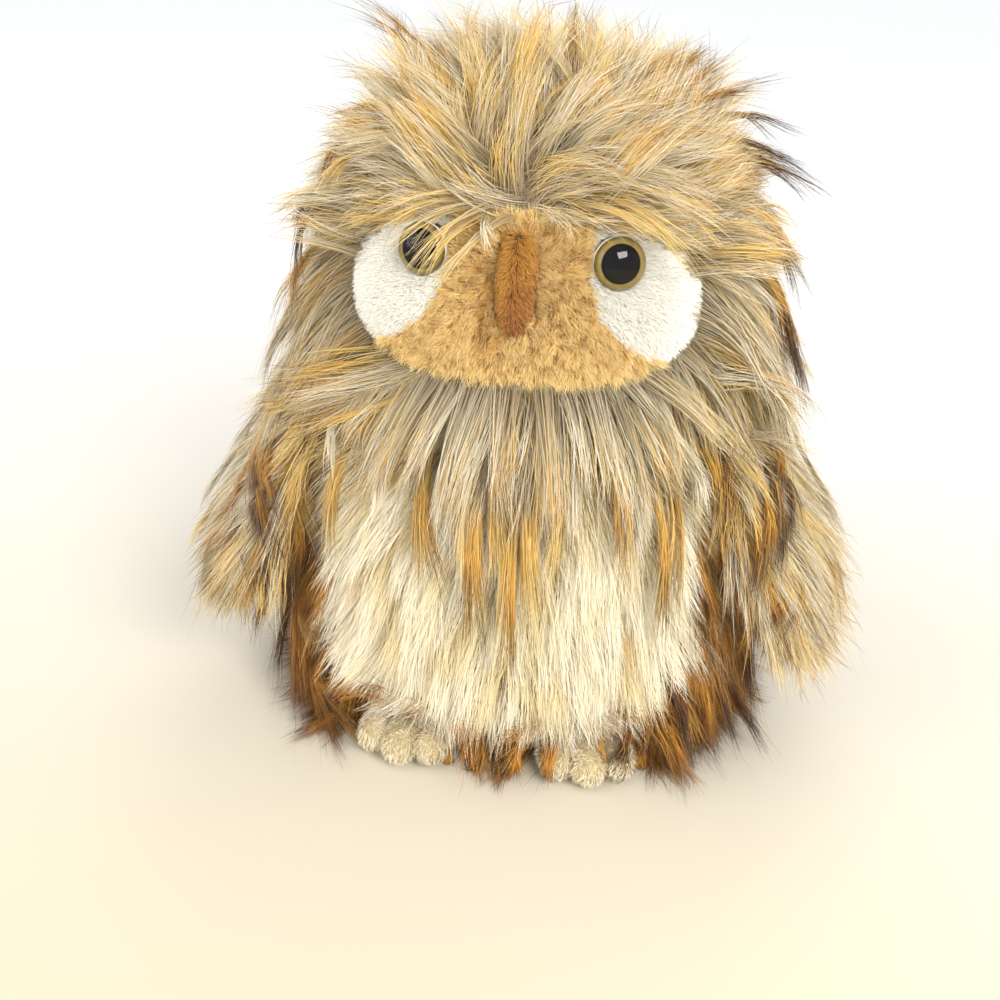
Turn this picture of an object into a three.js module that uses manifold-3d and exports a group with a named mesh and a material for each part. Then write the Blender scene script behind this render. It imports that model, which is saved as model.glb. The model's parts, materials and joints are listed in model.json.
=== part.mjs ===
// A long-pile plush owl that sits upright. Millimetres, +Z up. The owl looks along -Y, its left side is +X.
// It is made the way a sewn toy is: fur panels over loose polyester stuffing, a bag of pellets in the base,
// short-pile patches round the eyes, a stuffed beak, plastic safety eyes locked by washers inside the head,
// two wings sewn on at the shoulders and two small feet sewn in at the front of the base.
// The long fur is built as the thick layer that its pile fills; single hairs are left out.
import * as THREE from 'three';
import { mergeVertices } from 'three/addons/utils/BufferGeometryUtils.js';
import Module from 'manifold-3d';

const wasm = await Module();
wasm.setup();

// Cloth and clearances
const GAP = 0.3; // between neighbouring pieces
const OVERRUN = 5; // how far a cutting shape runs past the face that it cuts
const REACH = 500; // half-size of a block that keeps or clears one whole side of the toy
const LONG_PILE = 14; // long fur with its knitted backing, combed down
const SHORT_PILE = 5; // plush patches of the face
const BEAK_PILE = 2.4;
const FOOT_PILE = 3;
const BASE_CLOTH = 2.6; // woven panel under the toy

// Body: a broad bell on a flat base
const BODY_HEIGHT = 170;
const BODY_HALF_WIDTH = 101;
const BODY_FRONT = 92;
const BODY_BACK = 89;
const BELLY_HALF_WIDTH = 71; // cream panel in front
const PELLET_BAG_HEIGHT = 26;
const PELLET_BAG_RADIUS = 48;
const PELLET_BAG_THROAT = 15; // radius of the opening that the bag goes in by
const PELLET_BAG_LIFT = 0.3; // over the base panel

// Head: a wide ball that is full at the cheeks, tilted back so that the owl looks up a little
const HEAD_HEIGHT = 152;
const HEAD_HALF_WIDTH = 93;
const HEAD_FRONT = 84;
const HEAD_BACK = 82;
const NECK_SINK = 58; // how deep the head sits down over the body
const HEAD_TILT = THREE.MathUtils.degToRad(10);

// Face: a window in the long fur, with plush patches inside it
const FACE_HALF_WIDTH = 63;
const FACE_HALF_HEIGHT = 28.5;
const FACE_DROP = 5; // its middle under the middle of the head
const RUFF_HALF_WIDTH = 60; // long-fur panel under the face

// Safety eyes
const EYE_RADIUS = 9.6;
const EYE_DOME = 6; // height of the clear dome
const EYE_PLATE = 1.3; // coloured disc behind the dome
const EYE_POST_RADIUS = 2.3;
const EYE_POST_LENGTH = 14;
const EYE_RIDGE = 0.5; // height of the ridges that hold the washer
const EYE_RIDGE_PITCH = 2.2;
const EYE_RIDGES = 3;
const EYE_SPREAD = 34.5; // from the middle of the face to the eye
const EYE_LIFT = 10; // above the middle of the head
const EYE_YAW = THREE.MathUtils.degToRad(22);
const EYE_SINK = 1.5; // how deep the plate sits in the pile
const WASHER_RADIUS = 7.5;
const WASHER_THICKNESS = 1.3;
const WASHER_TEETH = 6;
const WASHER_TOOTH = 1;

// Beak: a stuffed tube with round ends
const BEAK_LENGTH = 39;
const BEAK_HALF_WIDTH = 8.2;
const BEAK_DEPTH = 10;
const BEAK_LIFT = 1; // its middle over the middle of the head
const BEAK_SINK = 2; // how far its middle lies inside the face patches

// Wings: flat teardrops that hang from the shoulders
const WING_LENGTH = 110;
const WING_HALF_WIDTH = 37;
const WING_HALF_THICKNESS = 13;
const WING_STUFFING_HALF_THICKNESS = 4.5;
const WING_SEAM = 8; // from the wing's edge to its stuffing
const WING_DROP = 30; // from the top of the body down to the shoulder seam
const WING_STAND = 3; // from the body's fur to the middle of the wing at the seam
const WING_YAW = THREE.MathUtils.degToRad(18); // how far forward of the side the wings sit
const WING_FLARE = THREE.MathUtils.degToRad(26);
const WING_LIFT = THREE.MathUtils.degToRad(60); // how far the wing lifts from its rest

// Feet: pads with three toes
const FOOT_OUT = 40; // middle of the foot from the middle of the toy
const FOOT_REACH = 16; // from the lower edge of the body's fur to the tips of the toes
const FOOT_HEIGHT = 16;
const TOE_RADIUS = 8.5;
const TOE_LENGTH = 28;
const TOE_SPREAD = 12;
const TOE_STEP = 4; // how far the outer toes stand behind the middle one
const TOES = 3;
const HEEL_LENGTH = 36;
const FOOT_YAW = THREE.MathUtils.degToRad(10);
const SOLE_FLAT = 0.5; // depth of the flat that the foot rests on

// Locks: the main tufts that the long pile draws together in
const LOCK_HALF_WIDTH = 9;
const LOCK_HALF_THICKNESS = 5;
const LOCK_ROOT = 6; // how deep a lock starts in the fur
const CROWN_LOCK_HALF_WIDTH = 17;
const CROWN_LOCK_HALF_THICKNESS = 8;
const CROWN_LOCK_REACH = 36;
const PARTING_LIFT = 33; // where the pile parts, over the middle of the head
const RUFF_LOCK_SPAN = THREE.MathUtils.degToRad(72); // how far round the body the ruff's locks hang
const RUFF_LOCK_STAND = 5; // from the belly to the middle of the lock's tip
const WING_LOCK_REACH = 15; // past the edge of the wing
const WING_LOCK_LENGTH = 40;

// Fineness of the curved shapes
const LOCK_SIDES = 6;
const BODY_SIDES = 26;
const BODY_RINGS = 10;
const BAG_SIDES = 16;
const BAG_RINGS = 6;
const HEAD_SIDES = 28;
const HEAD_RINGS = 11;
const WINDOW_POINTS = 22;
const WING_SIDES = 14;
const WING_RINGS = 8;
const LIFT_STEPS = 6;
const EYE_SIDES = 16;
const DOME_RINGS = 5;
const ROOM_SIDES = 12;
const BEAK_SIDES = 12;
const BEAK_RINGS = 7;
const FOOT_SIDES = 8;
const FOOT_RINGS = 5;

// Outlines upwards: [height share, radius share]
const bodyShares = [
  [0, 0.9], [0.05, 0.96], [0.16, 0.995], [0.32, 1], [0.52, 0.98],
  [0.69, 0.92], [0.82, 0.81], [0.92, 0.61], [0.98, 0.34], [1, 0],
];
const headShares = [
  [0, 0], [0.02, 0.4], [0.08, 0.7], [0.2, 0.91], [0.36, 1], [0.54, 0.985],
  [0.71, 0.88], [0.85, 0.68], [0.95, 0.41], [0.99, 0.2], [1, 0],
];
// Wing outline from the shoulder to the tip: [length share, width share]
const wingShares = [
  [0, 0], [0.02, 0.42], [0.12, 0.72], [0.35, 0.95], [0.57, 1],
  [0.79, 0.82], [0.93, 0.5], [0.99, 0.22], [1, 0],
];
// Side of the cream panel, upwards: [half-width share, body height share]
const bellyShares = [[0.6, -0.1], [0.82, 0.12], [1, 0.42], [0.96, 0.66], [0.78, 0.9], [0.7, 1.2]];
// Inner edge of the white patch, downwards: [window half-width share, window half-height share]
const whiteEdgeShares = [
  [0.38, 1.6], [0.38, 0.3], [0.44, -0.15], [0.62, -0.52], [0.86, -0.78], [1.5, -0.95],
];
// Lock outline from root to tip: [length share, width share]
const lockShares = [[0, 0], [0, 1], [0.35, 0.92], [0.65, 0.6], [0.88, 0.25], [1, 0]];
// Rows of locks on each side of the crown: the height share of the row, where it starts on the half turn
// from front to back, and how far each of its locks reaches
const crownRowShares = [
  [0.64, 0.24, [1, 0.78, 0.92, 0.7, 0.97]],
  [0.8, 0.02, [0.92, 0.7, 0.97, 0.84, 0.88]],
  [0.93, 0.1, [0.97, 0.84, 0.88]],
];
const crownLeanShares = [0.42, 0.95]; // how far a crown lock's tip goes out of the fur, and along it
const ruffRootShare = 0.24; // of the head's height
const ruffTipShares = [0.7, 0.63, 0.68, 0.58, 0.65, 0.56, 0.69, 0.6, 0.7]; // of the body's height
const ruffBowShare = 0.35; // how far forward a ruff lock bows, of its fall
const wingLockShares = [0.62, 0.9, 1, 0.85, 0.55]; // of the reach past the wing's edge
const wingLockSpanShare = 0.9; // of the wing's width that its locks hang from
// Side of the tunnel that a foot leaves in the long fur, upwards: [half-width share, height share]
const tunnelShares = [[1, 0.6], [0.9, 0.92], [0.62, 1]];
// How full the round shapes are, as a power of the sine; 1 is an ellipse and less is squarer
const POD_SHARE = 0.7;
const BAG_SHARE = 0.6;
const BODY_CORNER_SHARE = 0.86;
const WINDOW_CORNER_SHARE = 0.72;

const finishes = {
  taupeFur: { color: 0xb9a988, roughness: 0.9, metalness: 0 },
  brownFur: { color: 0x8a6540, roughness: 0.9, metalness: 0 },
  creamFur: { color: 0xf0e6cd, roughness: 0.9, metalness: 0 },
  whitePlush: { color: 0xf6f2e4, roughness: 0.95, metalness: 0 },
  tanPlush: { color: 0xd8b47a, roughness: 0.95, metalness: 0 },
  beakPlush: { color: 0xa5713f, roughness: 0.9, metalness: 0 },
  footPlush: { color: 0xe6dcc2, roughness: 0.95, metalness: 0 },
  baseCloth: { color: 0x6b4a2d, roughness: 0.95, metalness: 0 },
  stuffing: { color: 0xf4f4f2, roughness: 1, metalness: 0 },
  bagCloth: { color: 0xe4e0d6, roughness: 0.9, metalness: 0 },
  clearPlastic: { color: 0xf3e6bb, roughness: 0.05, metalness: 0, transparent: true, opacity: 0.4 },
  eyePaint: { color: 0xa98a3c, roughness: 0.2, metalness: 0 },
  washerPlastic: { color: 0xe9e9e4, roughness: 0.5, metalness: 0 },
};

// Solids are joined and cut through these
function solidOf(geometry) {
  const corners = geometry.getAttribute('position').clone();
  const bare = new THREE.BufferGeometry().setAttribute('position', corners);
  if (geometry.index) bare.setIndex(geometry.index.clone());
  const merged = mergeVertices(bare);
  return new wasm.Manifold(new wasm.Mesh({
    numProp: 3,
    vertProperties: new Float32Array(merged.getAttribute('position').array),
    triVerts: new Uint32Array(merged.index.array),
  }));
}

function geometryOf(solid) {
  const { vertProperties, triVerts } = solid.getMesh();
  return new THREE.BufferGeometry()
    .setAttribute('position', new THREE.BufferAttribute(new Float32Array(vertProperties), 3))
    .setIndex(new THREE.BufferAttribute(new Uint32Array(triVerts), 1));
}

const cut = (stock, ...tools) => geometryOf(tools.reduce((s, t) => s.subtract(solidOf(t)), solidOf(stock)));
const keep = (stock, ...regions) => geometryOf(
  regions.reduce((s, r) => s.intersect(solidOf(r)), solidOf(stock)),
);
const join = (first, ...others) => geometryOf(others.reduce((s, o) => s.add(solidOf(o)), solidOf(first)));
const moved = (geometry, frame) => geometry.clone().applyMatrix4(frame);
const inverse = (frame) => frame.clone().invert();

function mirrored(geometry) {
  const flipped = geometryOf(solidOf(geometry)).scale(-1, 1, 1);
  const corners = flipped.index.array;
  for (let i = 0; i < corners.length; i += 3) {
    [corners[i + 1], corners[i + 2]] = [corners[i + 2], corners[i + 1]];
  }
  return flipped;
}

function block(low, high) {
  const size = high.map((h, i) => h - low[i]);
  return new THREE.BoxGeometry(...size).translate(...high.map((h, i) => (h + low[i]) / 2));
}

const below = (z) => block([-REACH, -REACH, -REACH], [REACH, REACH, z]);
const behind = (y) => block([-REACH, y, -REACH], [REACH, REACH, REACH]);
const rightOf = (x) => block([-REACH, -REACH, -REACH], [x, REACH, REACH]);
const leftOf = (x) => block([x, -REACH, -REACH], [REACH, REACH, REACH]);

// Sine or cosine raised to a fullness, with its sign kept
const fuller = (wave, fullness) => Math.sign(wave) * Math.abs(wave) ** fullness;

// An upright solid of oval sections. profile is a list of [height, radius share].
function ovalSolid(profile, sides, halfWidth, front, back, fullness = 1) {
  const geometry = new THREE.LatheGeometry(profile.map(([z, r]) => new THREE.Vector2(r, z)), sides);
  geometry.rotateX(Math.PI / 2);
  const at = geometry.getAttribute('position');
  for (let i = 0; i < at.count; i += 1) {
    const radius = Math.hypot(at.getX(i), at.getY(i));
    const x = radius && radius * fuller(at.getX(i) / radius, fullness);
    const y = radius && radius * fuller(at.getY(i) / radius, fullness);
    at.setXYZ(i, x * halfWidth, y * (y < 0 ? front : back), at.getZ(i));
  }
  return geometry;
}

// A ball whose fullness is a power of the sine, about the origin
function ball(halfHeight, halfWidth, front, back, sides, rings, fullness) {
  const profile = Array.from({ length: rings + 1 }, (_, i) => {
    const turn = (Math.PI * i) / rings;
    return [-Math.cos(turn) * halfHeight, i % rings ? Math.sin(turn) ** fullness : 0];
  });
  return ovalSolid(profile, sides, halfWidth, front, back);
}

// Points of a smooth line through a table of [share, share], which starts and ends where the table does
const smoothLine = (shares, count) => new THREE.SplineCurve(shares.map(([a, b]) => new THREE.Vector2(a, b)))
  .getPoints(count)
  .map((p) => [p.x, Math.max(p.y, 0)]);

// Radius share of a smooth outline at a height share
function radiusShareAt(line, share) {
  const next = line.findIndex(([height]) => height >= share);
  const [[z0, r0], [z1, r1]] = [line[next - 1], line[next]];
  return r0 + ((r1 - r0) * (share - z0)) / (z1 - z0);
}

// An outline of [x, z] points seen from the front, pushed forward from the origin
function frontPrism(points, depth = REACH) {
  const shape = new THREE.Shape(points.map(([x, z]) => new THREE.Vector2(x, z)));
  return new THREE.ExtrudeGeometry(shape, { depth, bevelEnabled: false }).rotateX(Math.PI / 2);
}

// Body
const bodyLine = smoothLine(bodyShares, BODY_RINGS);

function bodyForm(inset, floor) {
  const outline = bodyLine.map(([z, r]) => [z * (BODY_HEIGHT - inset), r]);
  const [[, footShare]] = bodyLine;
  const foot = floor < 0 ? [[floor, footShare]] : [];
  return ovalSolid(
    [[floor, 0], ...foot, ...outline],
    BODY_SIDES,
    BODY_HALF_WIDTH - inset,
    BODY_FRONT - inset,
    BODY_BACK - inset,
    BODY_CORNER_SHARE,
  );
}

function basePanel() {
  const [[, share]] = bodyShares;
  const radii = [BODY_HALF_WIDTH, BODY_FRONT, BODY_BACK].map((r) => (r - LONG_PILE) * share - GAP);
  const profile = [[0, 0], [0, 1], [BASE_CLOTH, 1], [BASE_CLOTH, 0]];
  return ovalSolid(profile, BODY_SIDES, ...radii, BODY_CORNER_SHARE);
}

function pelletBag(grow) {
  const radius = PELLET_BAG_RADIUS + grow;
  const halfHeight = PELLET_BAG_HEIGHT / 2;
  return ball(halfHeight + grow, radius, radius, radius, BAG_SIDES, BAG_RINGS, BAG_SHARE)
    .translate(0, 0, BASE_CLOTH + PELLET_BAG_LIFT + halfHeight);
}

// A place on an oval form, at a turn round it from the owl's left and a height share
function onForm(line, turn, share, halfWidth, front, back, fullness = 1) {
  const radius = radiusShareAt(line, share);
  const x = radius * fuller(Math.cos(turn), fullness) * halfWidth;
  const y = radius * fuller(Math.sin(turn), fullness) * (turn < 0 ? front : back);
  return [x, y];
}

// A pointed lock of pile along a bowed path from its root to its tip; out is the way off the fur
function pointedLock([root, crest, tip], out, halfWidth, halfThickness) {
  const path = new THREE.QuadraticBezierCurve3(root, crest, tip);
  const geometry = ovalSolid(lockShares, LOCK_SIDES, halfWidth, halfThickness, halfThickness);
  const at = geometry.getAttribute('position');
  for (let i = 0; i < at.count; i += 1) {
    const run = path.getTangent(at.getZ(i));
    const side = new THREE.Vector3().crossVectors(run, out).normalize();
    const up = new THREE.Vector3().crossVectors(run, side);
    const place = path.getPoint(at.getZ(i));
    place.addScaledVector(side, at.getX(i)).addScaledVector(up, at.getY(i));
    at.setXYZ(i, place.x, place.y, place.z);
  }
  return geometry;
}

function bellyRegion(inset) {
  const side = bellyShares.map(([x, z]) => [x * BELLY_HALF_WIDTH - inset, z * BODY_HEIGHT]);
  return frontPrism([...side, ...side.map(([x, z]) => [-x, z]).reverse()]);
}

// Head, in a frame whose origin is the middle of the head
const headFrame = new THREE.Matrix4()
  .makeTranslation(0, 0, BODY_HEIGHT + HEAD_HEIGHT / 2 - NECK_SINK)
  .multiply(new THREE.Matrix4().makeRotationX(-HEAD_TILT));
const headLine = smoothLine(headShares, HEAD_RINGS);

const headForm = (inset) => ovalSolid(
  headLine.map(([z, r]) => [(z - 1 / 2) * (HEAD_HEIGHT - 2 * inset), r]),
  HEAD_SIDES,
  HEAD_HALF_WIDTH - inset,
  HEAD_FRONT - inset,
  HEAD_BACK - inset,
);

// Where the front of the head is, at a place on the face
function faceAt(x, z, inset) {
  const share = radiusShareAt(headLine, z / (HEAD_HEIGHT - 2 * inset) + 1 / 2);
  const across = x / ((HEAD_HALF_WIDTH - inset) * share);
  return -(HEAD_FRONT - inset) * share * Math.sqrt(1 - across ** 2);
}

// A lock of the crown, in the head's frame, that lies away from the parting on the brow
function crownLock(turn, share, reach) {
  const parting = new THREE.Vector3(0, faceAt(0, PARTING_LIFT, 0), PARTING_LIFT);
  const [outShare, alongShare] = crownLeanShares;
  const [x, y] = onForm(headLine, turn, share, HEAD_HALF_WIDTH, HEAD_FRONT, HEAD_BACK);
  const at = new THREE.Vector3(x, y, (share - 1 / 2) * HEAD_HEIGHT);
  const depth = y < 0 ? HEAD_FRONT : HEAD_BACK;
  const out = new THREE.Vector3(
    x / HEAD_HALF_WIDTH ** 2,
    y / depth ** 2,
    at.z / (HEAD_HEIGHT / 2) ** 2,
  ).normalize();
  const along = at.clone().sub(parting).projectOnPlane(out).normalize();
  const place = (off, on) => at.clone().addScaledVector(out, off).addScaledVector(along, on);
  const root = place(-CROWN_LOCK_HALF_THICKNESS, -LOCK_ROOT);
  const crest = place(outShare * reach, LOCK_ROOT);
  const tip = place(outShare * reach, alongShare * reach);
  return pointedLock([root, crest, tip], out, CROWN_LOCK_HALF_WIDTH, CROWN_LOCK_HALF_THICKNESS);
}

// The locks of the crown's left side
const crownLocks = () => crownRowShares.flatMap(([share, start, reaches]) => reaches.map((reach, i) => {
  const half = start + ((1 - start) * (i + 1 / 2)) / reaches.length;
  return crownLock(Math.PI * (half - 1 / 2), share, reach * CROWN_LOCK_REACH);
}));

// Locks of the ruff, which fall over the top of the belly
function ruffLocks() {
  const radii = [BODY_HALF_WIDTH, BODY_FRONT, BODY_BACK].map((r) => r + RUFF_LOCK_STAND);
  return ruffTipShares.map((tipShare, i) => {
    const turn = -Math.PI / 2 + RUFF_LOCK_SPAN * (i / (ruffTipShares.length - 1) - 1 / 2);
    const [headX, headY] = onForm(headLine, turn, ruffRootShare, HEAD_HALF_WIDTH, HEAD_FRONT, HEAD_BACK);
    const [tipX, tipY] = onForm(bodyLine, turn, tipShare, ...radii, BODY_CORNER_SHARE);
    const out = new THREE.Vector3(tipX, tipY, 0).normalize();
    const root = new THREE.Vector3(headX, headY, (ruffRootShare - 1 / 2) * HEAD_HEIGHT)
      .applyMatrix4(headFrame)
      .addScaledVector(out, -LOCK_ROOT);
    const tip = new THREE.Vector3(tipX, tipY, tipShare * BODY_HEIGHT);
    const crest = root.clone().lerp(tip, 1 / 2).addScaledVector(out, ruffBowShare * (root.z - tip.z));
    return pointedLock([root, crest, tip], out, LOCK_HALF_WIDTH, LOCK_HALF_THICKNESS);
  });
}

function faceWindow(inset) {
  return frontPrism(Array.from({ length: WINDOW_POINTS }, (_, i) => {
    const turn = (2 * Math.PI * i) / WINDOW_POINTS;
    return [
      fuller(Math.cos(turn), WINDOW_CORNER_SHARE) * (FACE_HALF_WIDTH - inset),
      fuller(Math.sin(turn), WINDOW_CORNER_SHARE) * (FACE_HALF_HEIGHT - inset) - FACE_DROP,
    ];
  }));
}

// The owl's left white patch, out to well past the window
function whiteRegion(inset) {
  const edge = whiteEdgeShares.map(([x, z]) => [
    x * FACE_HALF_WIDTH + inset,
    z * FACE_HALF_HEIGHT + inset - FACE_DROP,
  ]);
  const [[, top]] = edge;
  const [outer] = edge[edge.length - 1];
  return frontPrism([...edge, [outer, top]]);
}

function ruffRegion(inset) {
  const side = RUFF_HALF_WIDTH - inset;
  const top = -FACE_DROP - inset;
  return frontPrism([[-side, -REACH], [side, -REACH], [side, top], [-side, top]]);
}

// Safety eye, in a frame that looks along -Y from the back of the coloured plate
const eyeFrame = new THREE.Matrix4()
  .makeTranslation(EYE_SPREAD, faceAt(EYE_SPREAD, EYE_LIFT, LONG_PILE - SHORT_PILE) + EYE_SINK, EYE_LIFT)
  .multiply(new THREE.Matrix4().makeRotationZ(EYE_YAW));
const CLOTH_BACK = EYE_SINK - SHORT_PILE; // inside face of the cloth
const POST_BORE = EYE_POST_RADIUS + EYE_RIDGE + GAP;

// A piece turned about the eye's axis. profile is a list of [distance forward, radius].
function turned(profile, sides) {
  const points = profile.map(([y, r]) => new THREE.Vector2(r, y));
  return new THREE.LatheGeometry(points, sides).rotateX(Math.PI);
}

function eyeLens() {
  const seat = EYE_PLATE + GAP;
  const arc = Array.from({ length: DOME_RINGS + 1 }, (_, i) => {
    const turn = (Math.PI / 2) * (i / DOME_RINGS);
    return [seat + Math.sin(turn) * EYE_DOME, i < DOME_RINGS ? Math.cos(turn) * EYE_RADIUS : 0];
  });
  return turned([[seat, 0], ...arc], EYE_SIDES);
}

function eyePlate() {
  const ridges = Array.from({ length: EYE_RIDGES }, (_, i) => {
    const at = -EYE_POST_LENGTH + (i + 1) * EYE_RIDGE_PITCH;
    return [
      [at - EYE_RIDGE, EYE_POST_RADIUS],
      [at, EYE_POST_RADIUS + EYE_RIDGE],
      [at + EYE_RIDGE, EYE_POST_RADIUS],
    ];
  });
  return turned([
    [-EYE_POST_LENGTH, 0],
    [-EYE_POST_LENGTH, EYE_POST_RADIUS - EYE_RIDGE],
    ...ridges.flat(),
    [0, EYE_POST_RADIUS],
    [0, EYE_RADIUS],
    [EYE_PLATE, EYE_RADIUS],
    [EYE_PLATE, 0],
  ], EYE_SIDES);
}

function washer() {
  const shape = new THREE.Shape();
  shape.absarc(0, 0, WASHER_RADIUS, 0, 2 * Math.PI);
  shape.holes.push(new THREE.Path(Array.from({ length: 2 * WASHER_TEETH }, (_, i) => {
    const turn = -(Math.PI * i) / WASHER_TEETH;
    const radius = POST_BORE + (i % 2 ? WASHER_TOOTH : 0);
    return new THREE.Vector2(radius * Math.cos(turn), radius * Math.sin(turn));
  })));
  return new THREE.ExtrudeGeometry(shape, {
    depth: WASHER_THICKNESS,
    bevelEnabled: false,
    curveSegments: EYE_SIDES / 2,
  }).rotateX(Math.PI / 2).translate(0, WASHER_THICKNESS + GAP - CLOTH_BACK, 0);
}

// What the eye and its washer clear in the cloth and the stuffing
function eyeRoom() {
  const plateBack = -GAP;
  const washerBack = CLOTH_BACK - WASHER_THICKNESS - 2 * GAP;
  const postEnd = -EYE_POST_LENGTH - GAP;
  return turned([
    [postEnd, 0],
    [postEnd, POST_BORE],
    [washerBack, POST_BORE],
    [washerBack, WASHER_RADIUS + GAP],
    [CLOTH_BACK, WASHER_RADIUS + GAP],
    [CLOTH_BACK, POST_BORE],
    [plateBack, POST_BORE],
    [plateBack, EYE_RADIUS + 2 * GAP],
    [EYE_DOME + OVERRUN, EYE_RADIUS + 2 * GAP],
    [EYE_DOME + OVERRUN, 0],
  ], ROOM_SIDES);
}

// Beak, in the head's frame
const beakMiddle = faceAt(0, BEAK_LIFT, LONG_PILE - SHORT_PILE) + BEAK_SINK;
const beakPod = (inset) => ball(
  BEAK_LENGTH / 2 - inset,
  BEAK_HALF_WIDTH - inset,
  BEAK_DEPTH - inset,
  BEAK_DEPTH - inset,
  BEAK_SIDES,
  BEAK_RINGS,
  POD_SHARE,
).translate(0, beakMiddle, BEAK_LIFT);

// Wing, in a frame at the shoulder seam: it hangs along -Z, with its outer face towards +X
const shoulderZ = BODY_HEIGHT - WING_DROP;
const shoulder = radiusShareAt(bodyLine, shoulderZ / BODY_HEIGHT);
const shoulderX = shoulder * BODY_HALF_WIDTH * fuller(Math.cos(WING_YAW), BODY_CORNER_SHARE);
const shoulderY = -shoulder * BODY_FRONT * fuller(Math.sin(WING_YAW), BODY_CORNER_SHARE);
const wingFrameAt = (lift) => new THREE.Matrix4()
  .makeTranslation(shoulderX, shoulderY, shoulderZ)
  .multiply(new THREE.Matrix4().makeRotationZ(-WING_YAW))
  .multiply(new THREE.Matrix4().makeRotationY(-WING_FLARE - lift));
const wingFrame = wingFrameAt(0);

function wingForm(inset, halfThickness) {
  const length = WING_LENGTH - 2 * inset;
  const line = smoothLine(wingShares, WING_RINGS).reverse();
  const outline = line.map(([z, r], i) => [-inset - z * length, i % WING_RINGS ? r : 0]);
  return ovalSolid(outline, WING_SIDES, halfThickness, WING_HALF_WIDTH - inset, WING_HALF_WIDTH - inset)
    .translate(WING_STAND, 0, 0);
}

// Locks that hang past the lower edge of the wing
function wingLocks() {
  const lowerEdge = smoothLine(wingShares, WING_RINGS).filter(([length]) => length > 1 / 2);
  const out = new THREE.Vector3(1, 0, 0);
  return wingLockShares.map((reachShare, i) => {
    const turn = Math.PI * ((i + 1 / 2) / wingLockShares.length - 1 / 2);
    const edgeY = Math.sin(turn) * WING_HALF_WIDTH * wingLockSpanShare;
    const [edgeShare] = lowerEdge.find(([, width]) => width * WING_HALF_WIDTH <= Math.abs(edgeY))
      ?? lowerEdge[lowerEdge.length - 1];
    const tipZ = -edgeShare * WING_LENGTH - WING_LOCK_REACH * reachShare;
    const tip = new THREE.Vector3(WING_STAND, edgeY, tipZ);
    const root = new THREE.Vector3(WING_STAND, edgeY * wingLockSpanShare, tipZ + WING_LOCK_LENGTH);
    const crest = root.clone().lerp(tip, 1 / 2);
    return pointedLock([root, crest, tip], out, LOCK_HALF_WIDTH, LOCK_HALF_THICKNESS);
  });
}

// Foot, in a frame on the table whose origin is at the tips of the toes and whose -Y is the way they point
const footFrame = new THREE.Matrix4()
  .makeTranslation(FOOT_OUT, -BODY_FRONT * bodyShares[0][1] - FOOT_REACH, 0)
  .multiply(new THREE.Matrix4().makeRotationZ(FOOT_YAW));

const footPod = (length, radius, inset) => ball(
  length / 2 - inset,
  radius - inset,
  FOOT_HEIGHT / 2 - inset,
  FOOT_HEIGHT / 2 - inset,
  FOOT_SIDES,
  FOOT_RINGS,
  POD_SHARE,
).rotateX(Math.PI / 2).translate(0, length / 2, FOOT_HEIGHT / 2 - SOLE_FLAT);

function footForm(grow) {
  const toes = Array.from({ length: TOES }, (_, i) => {
    const place = i - (TOES - 1) / 2;
    return footPod(TOE_LENGTH, TOE_RADIUS, -grow)
      .translate(place * TOE_SPREAD, Math.abs(place) * TOE_STEP, 0);
  });
  const heel = footPod(HEEL_LENGTH, TOE_SPREAD + TOE_RADIUS, -grow).translate(0, TOE_LENGTH / 2, 0);
  return cut(join(heel, ...toes), below(0));
}

// The stuffing of a foot is one plain pad behind the toes' tips
const footPad = (inset) => cut(
  footPod(FOOT_REACH + HEEL_LENGTH, TOE_SPREAD + TOE_RADIUS, inset),
  below(inset),
);

// The tunnel that a foot leaves in the long fur, open below
function footRoom() {
  const halfWidth = TOE_SPREAD + TOE_RADIUS + GAP;
  const height = FOOT_HEIGHT - SOLE_FLAT + GAP;
  const length = TOE_LENGTH / 2 + HEEL_LENGTH;
  const side = [[halfWidth, -OVERRUN], ...tunnelShares.map(([x, z]) => [x * halfWidth, z * height])];
  const outline = [...side, ...side.map(([x, z]) => [-x, z]).reverse()];
  return frontPrism(outline, length + OVERRUN).translate(0, length, 0);
}

// The solids that several pieces share
const bodyOuter = bodyForm(0, 0);
const bodyOuterRoom = bodyForm(-GAP, -OVERRUN);
const bodyInner = bodyForm(LONG_PILE, 0);
const bodyInnerRoom = bodyForm(LONG_PILE - GAP, -OVERRUN);
const headOuterRoom = moved(headForm(-GAP), headFrame);
const headInnerRoom = moved(headForm(LONG_PILE - GAP), headFrame);
const leftEyeRoom = moved(eyeRoom(), headFrame.clone().multiply(eyeFrame));
const eyeRooms = [leftEyeRoom, mirrored(leftEyeRoom)];
const leftFootRoom = moved(footRoom(), footFrame);
const footRooms = [leftFootRoom, mirrored(leftFootRoom)];

// Body panels over the stuffing, which has a pocket for the bag of pellets
const bodyFur = cut(bodyOuter, bodyInnerRoom, headInnerRoom, ...footRooms);
const bellyPanel = keep(bodyFur, bellyRegion(0));
const leftBackPanel = keep(cut(bodyFur, bellyRegion(-GAP)), leftOf(GAP / 2));
const bagThroat = new THREE.CylinderGeometry(
  PELLET_BAG_THROAT,
  PELLET_BAG_THROAT,
  PELLET_BAG_HEIGHT,
  BAG_SIDES,
).rotateX(Math.PI / 2);
const bodyStuffing = cut(bodyInner, below(BASE_CLOTH + GAP), pelletBag(GAP), bagThroat);

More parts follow.
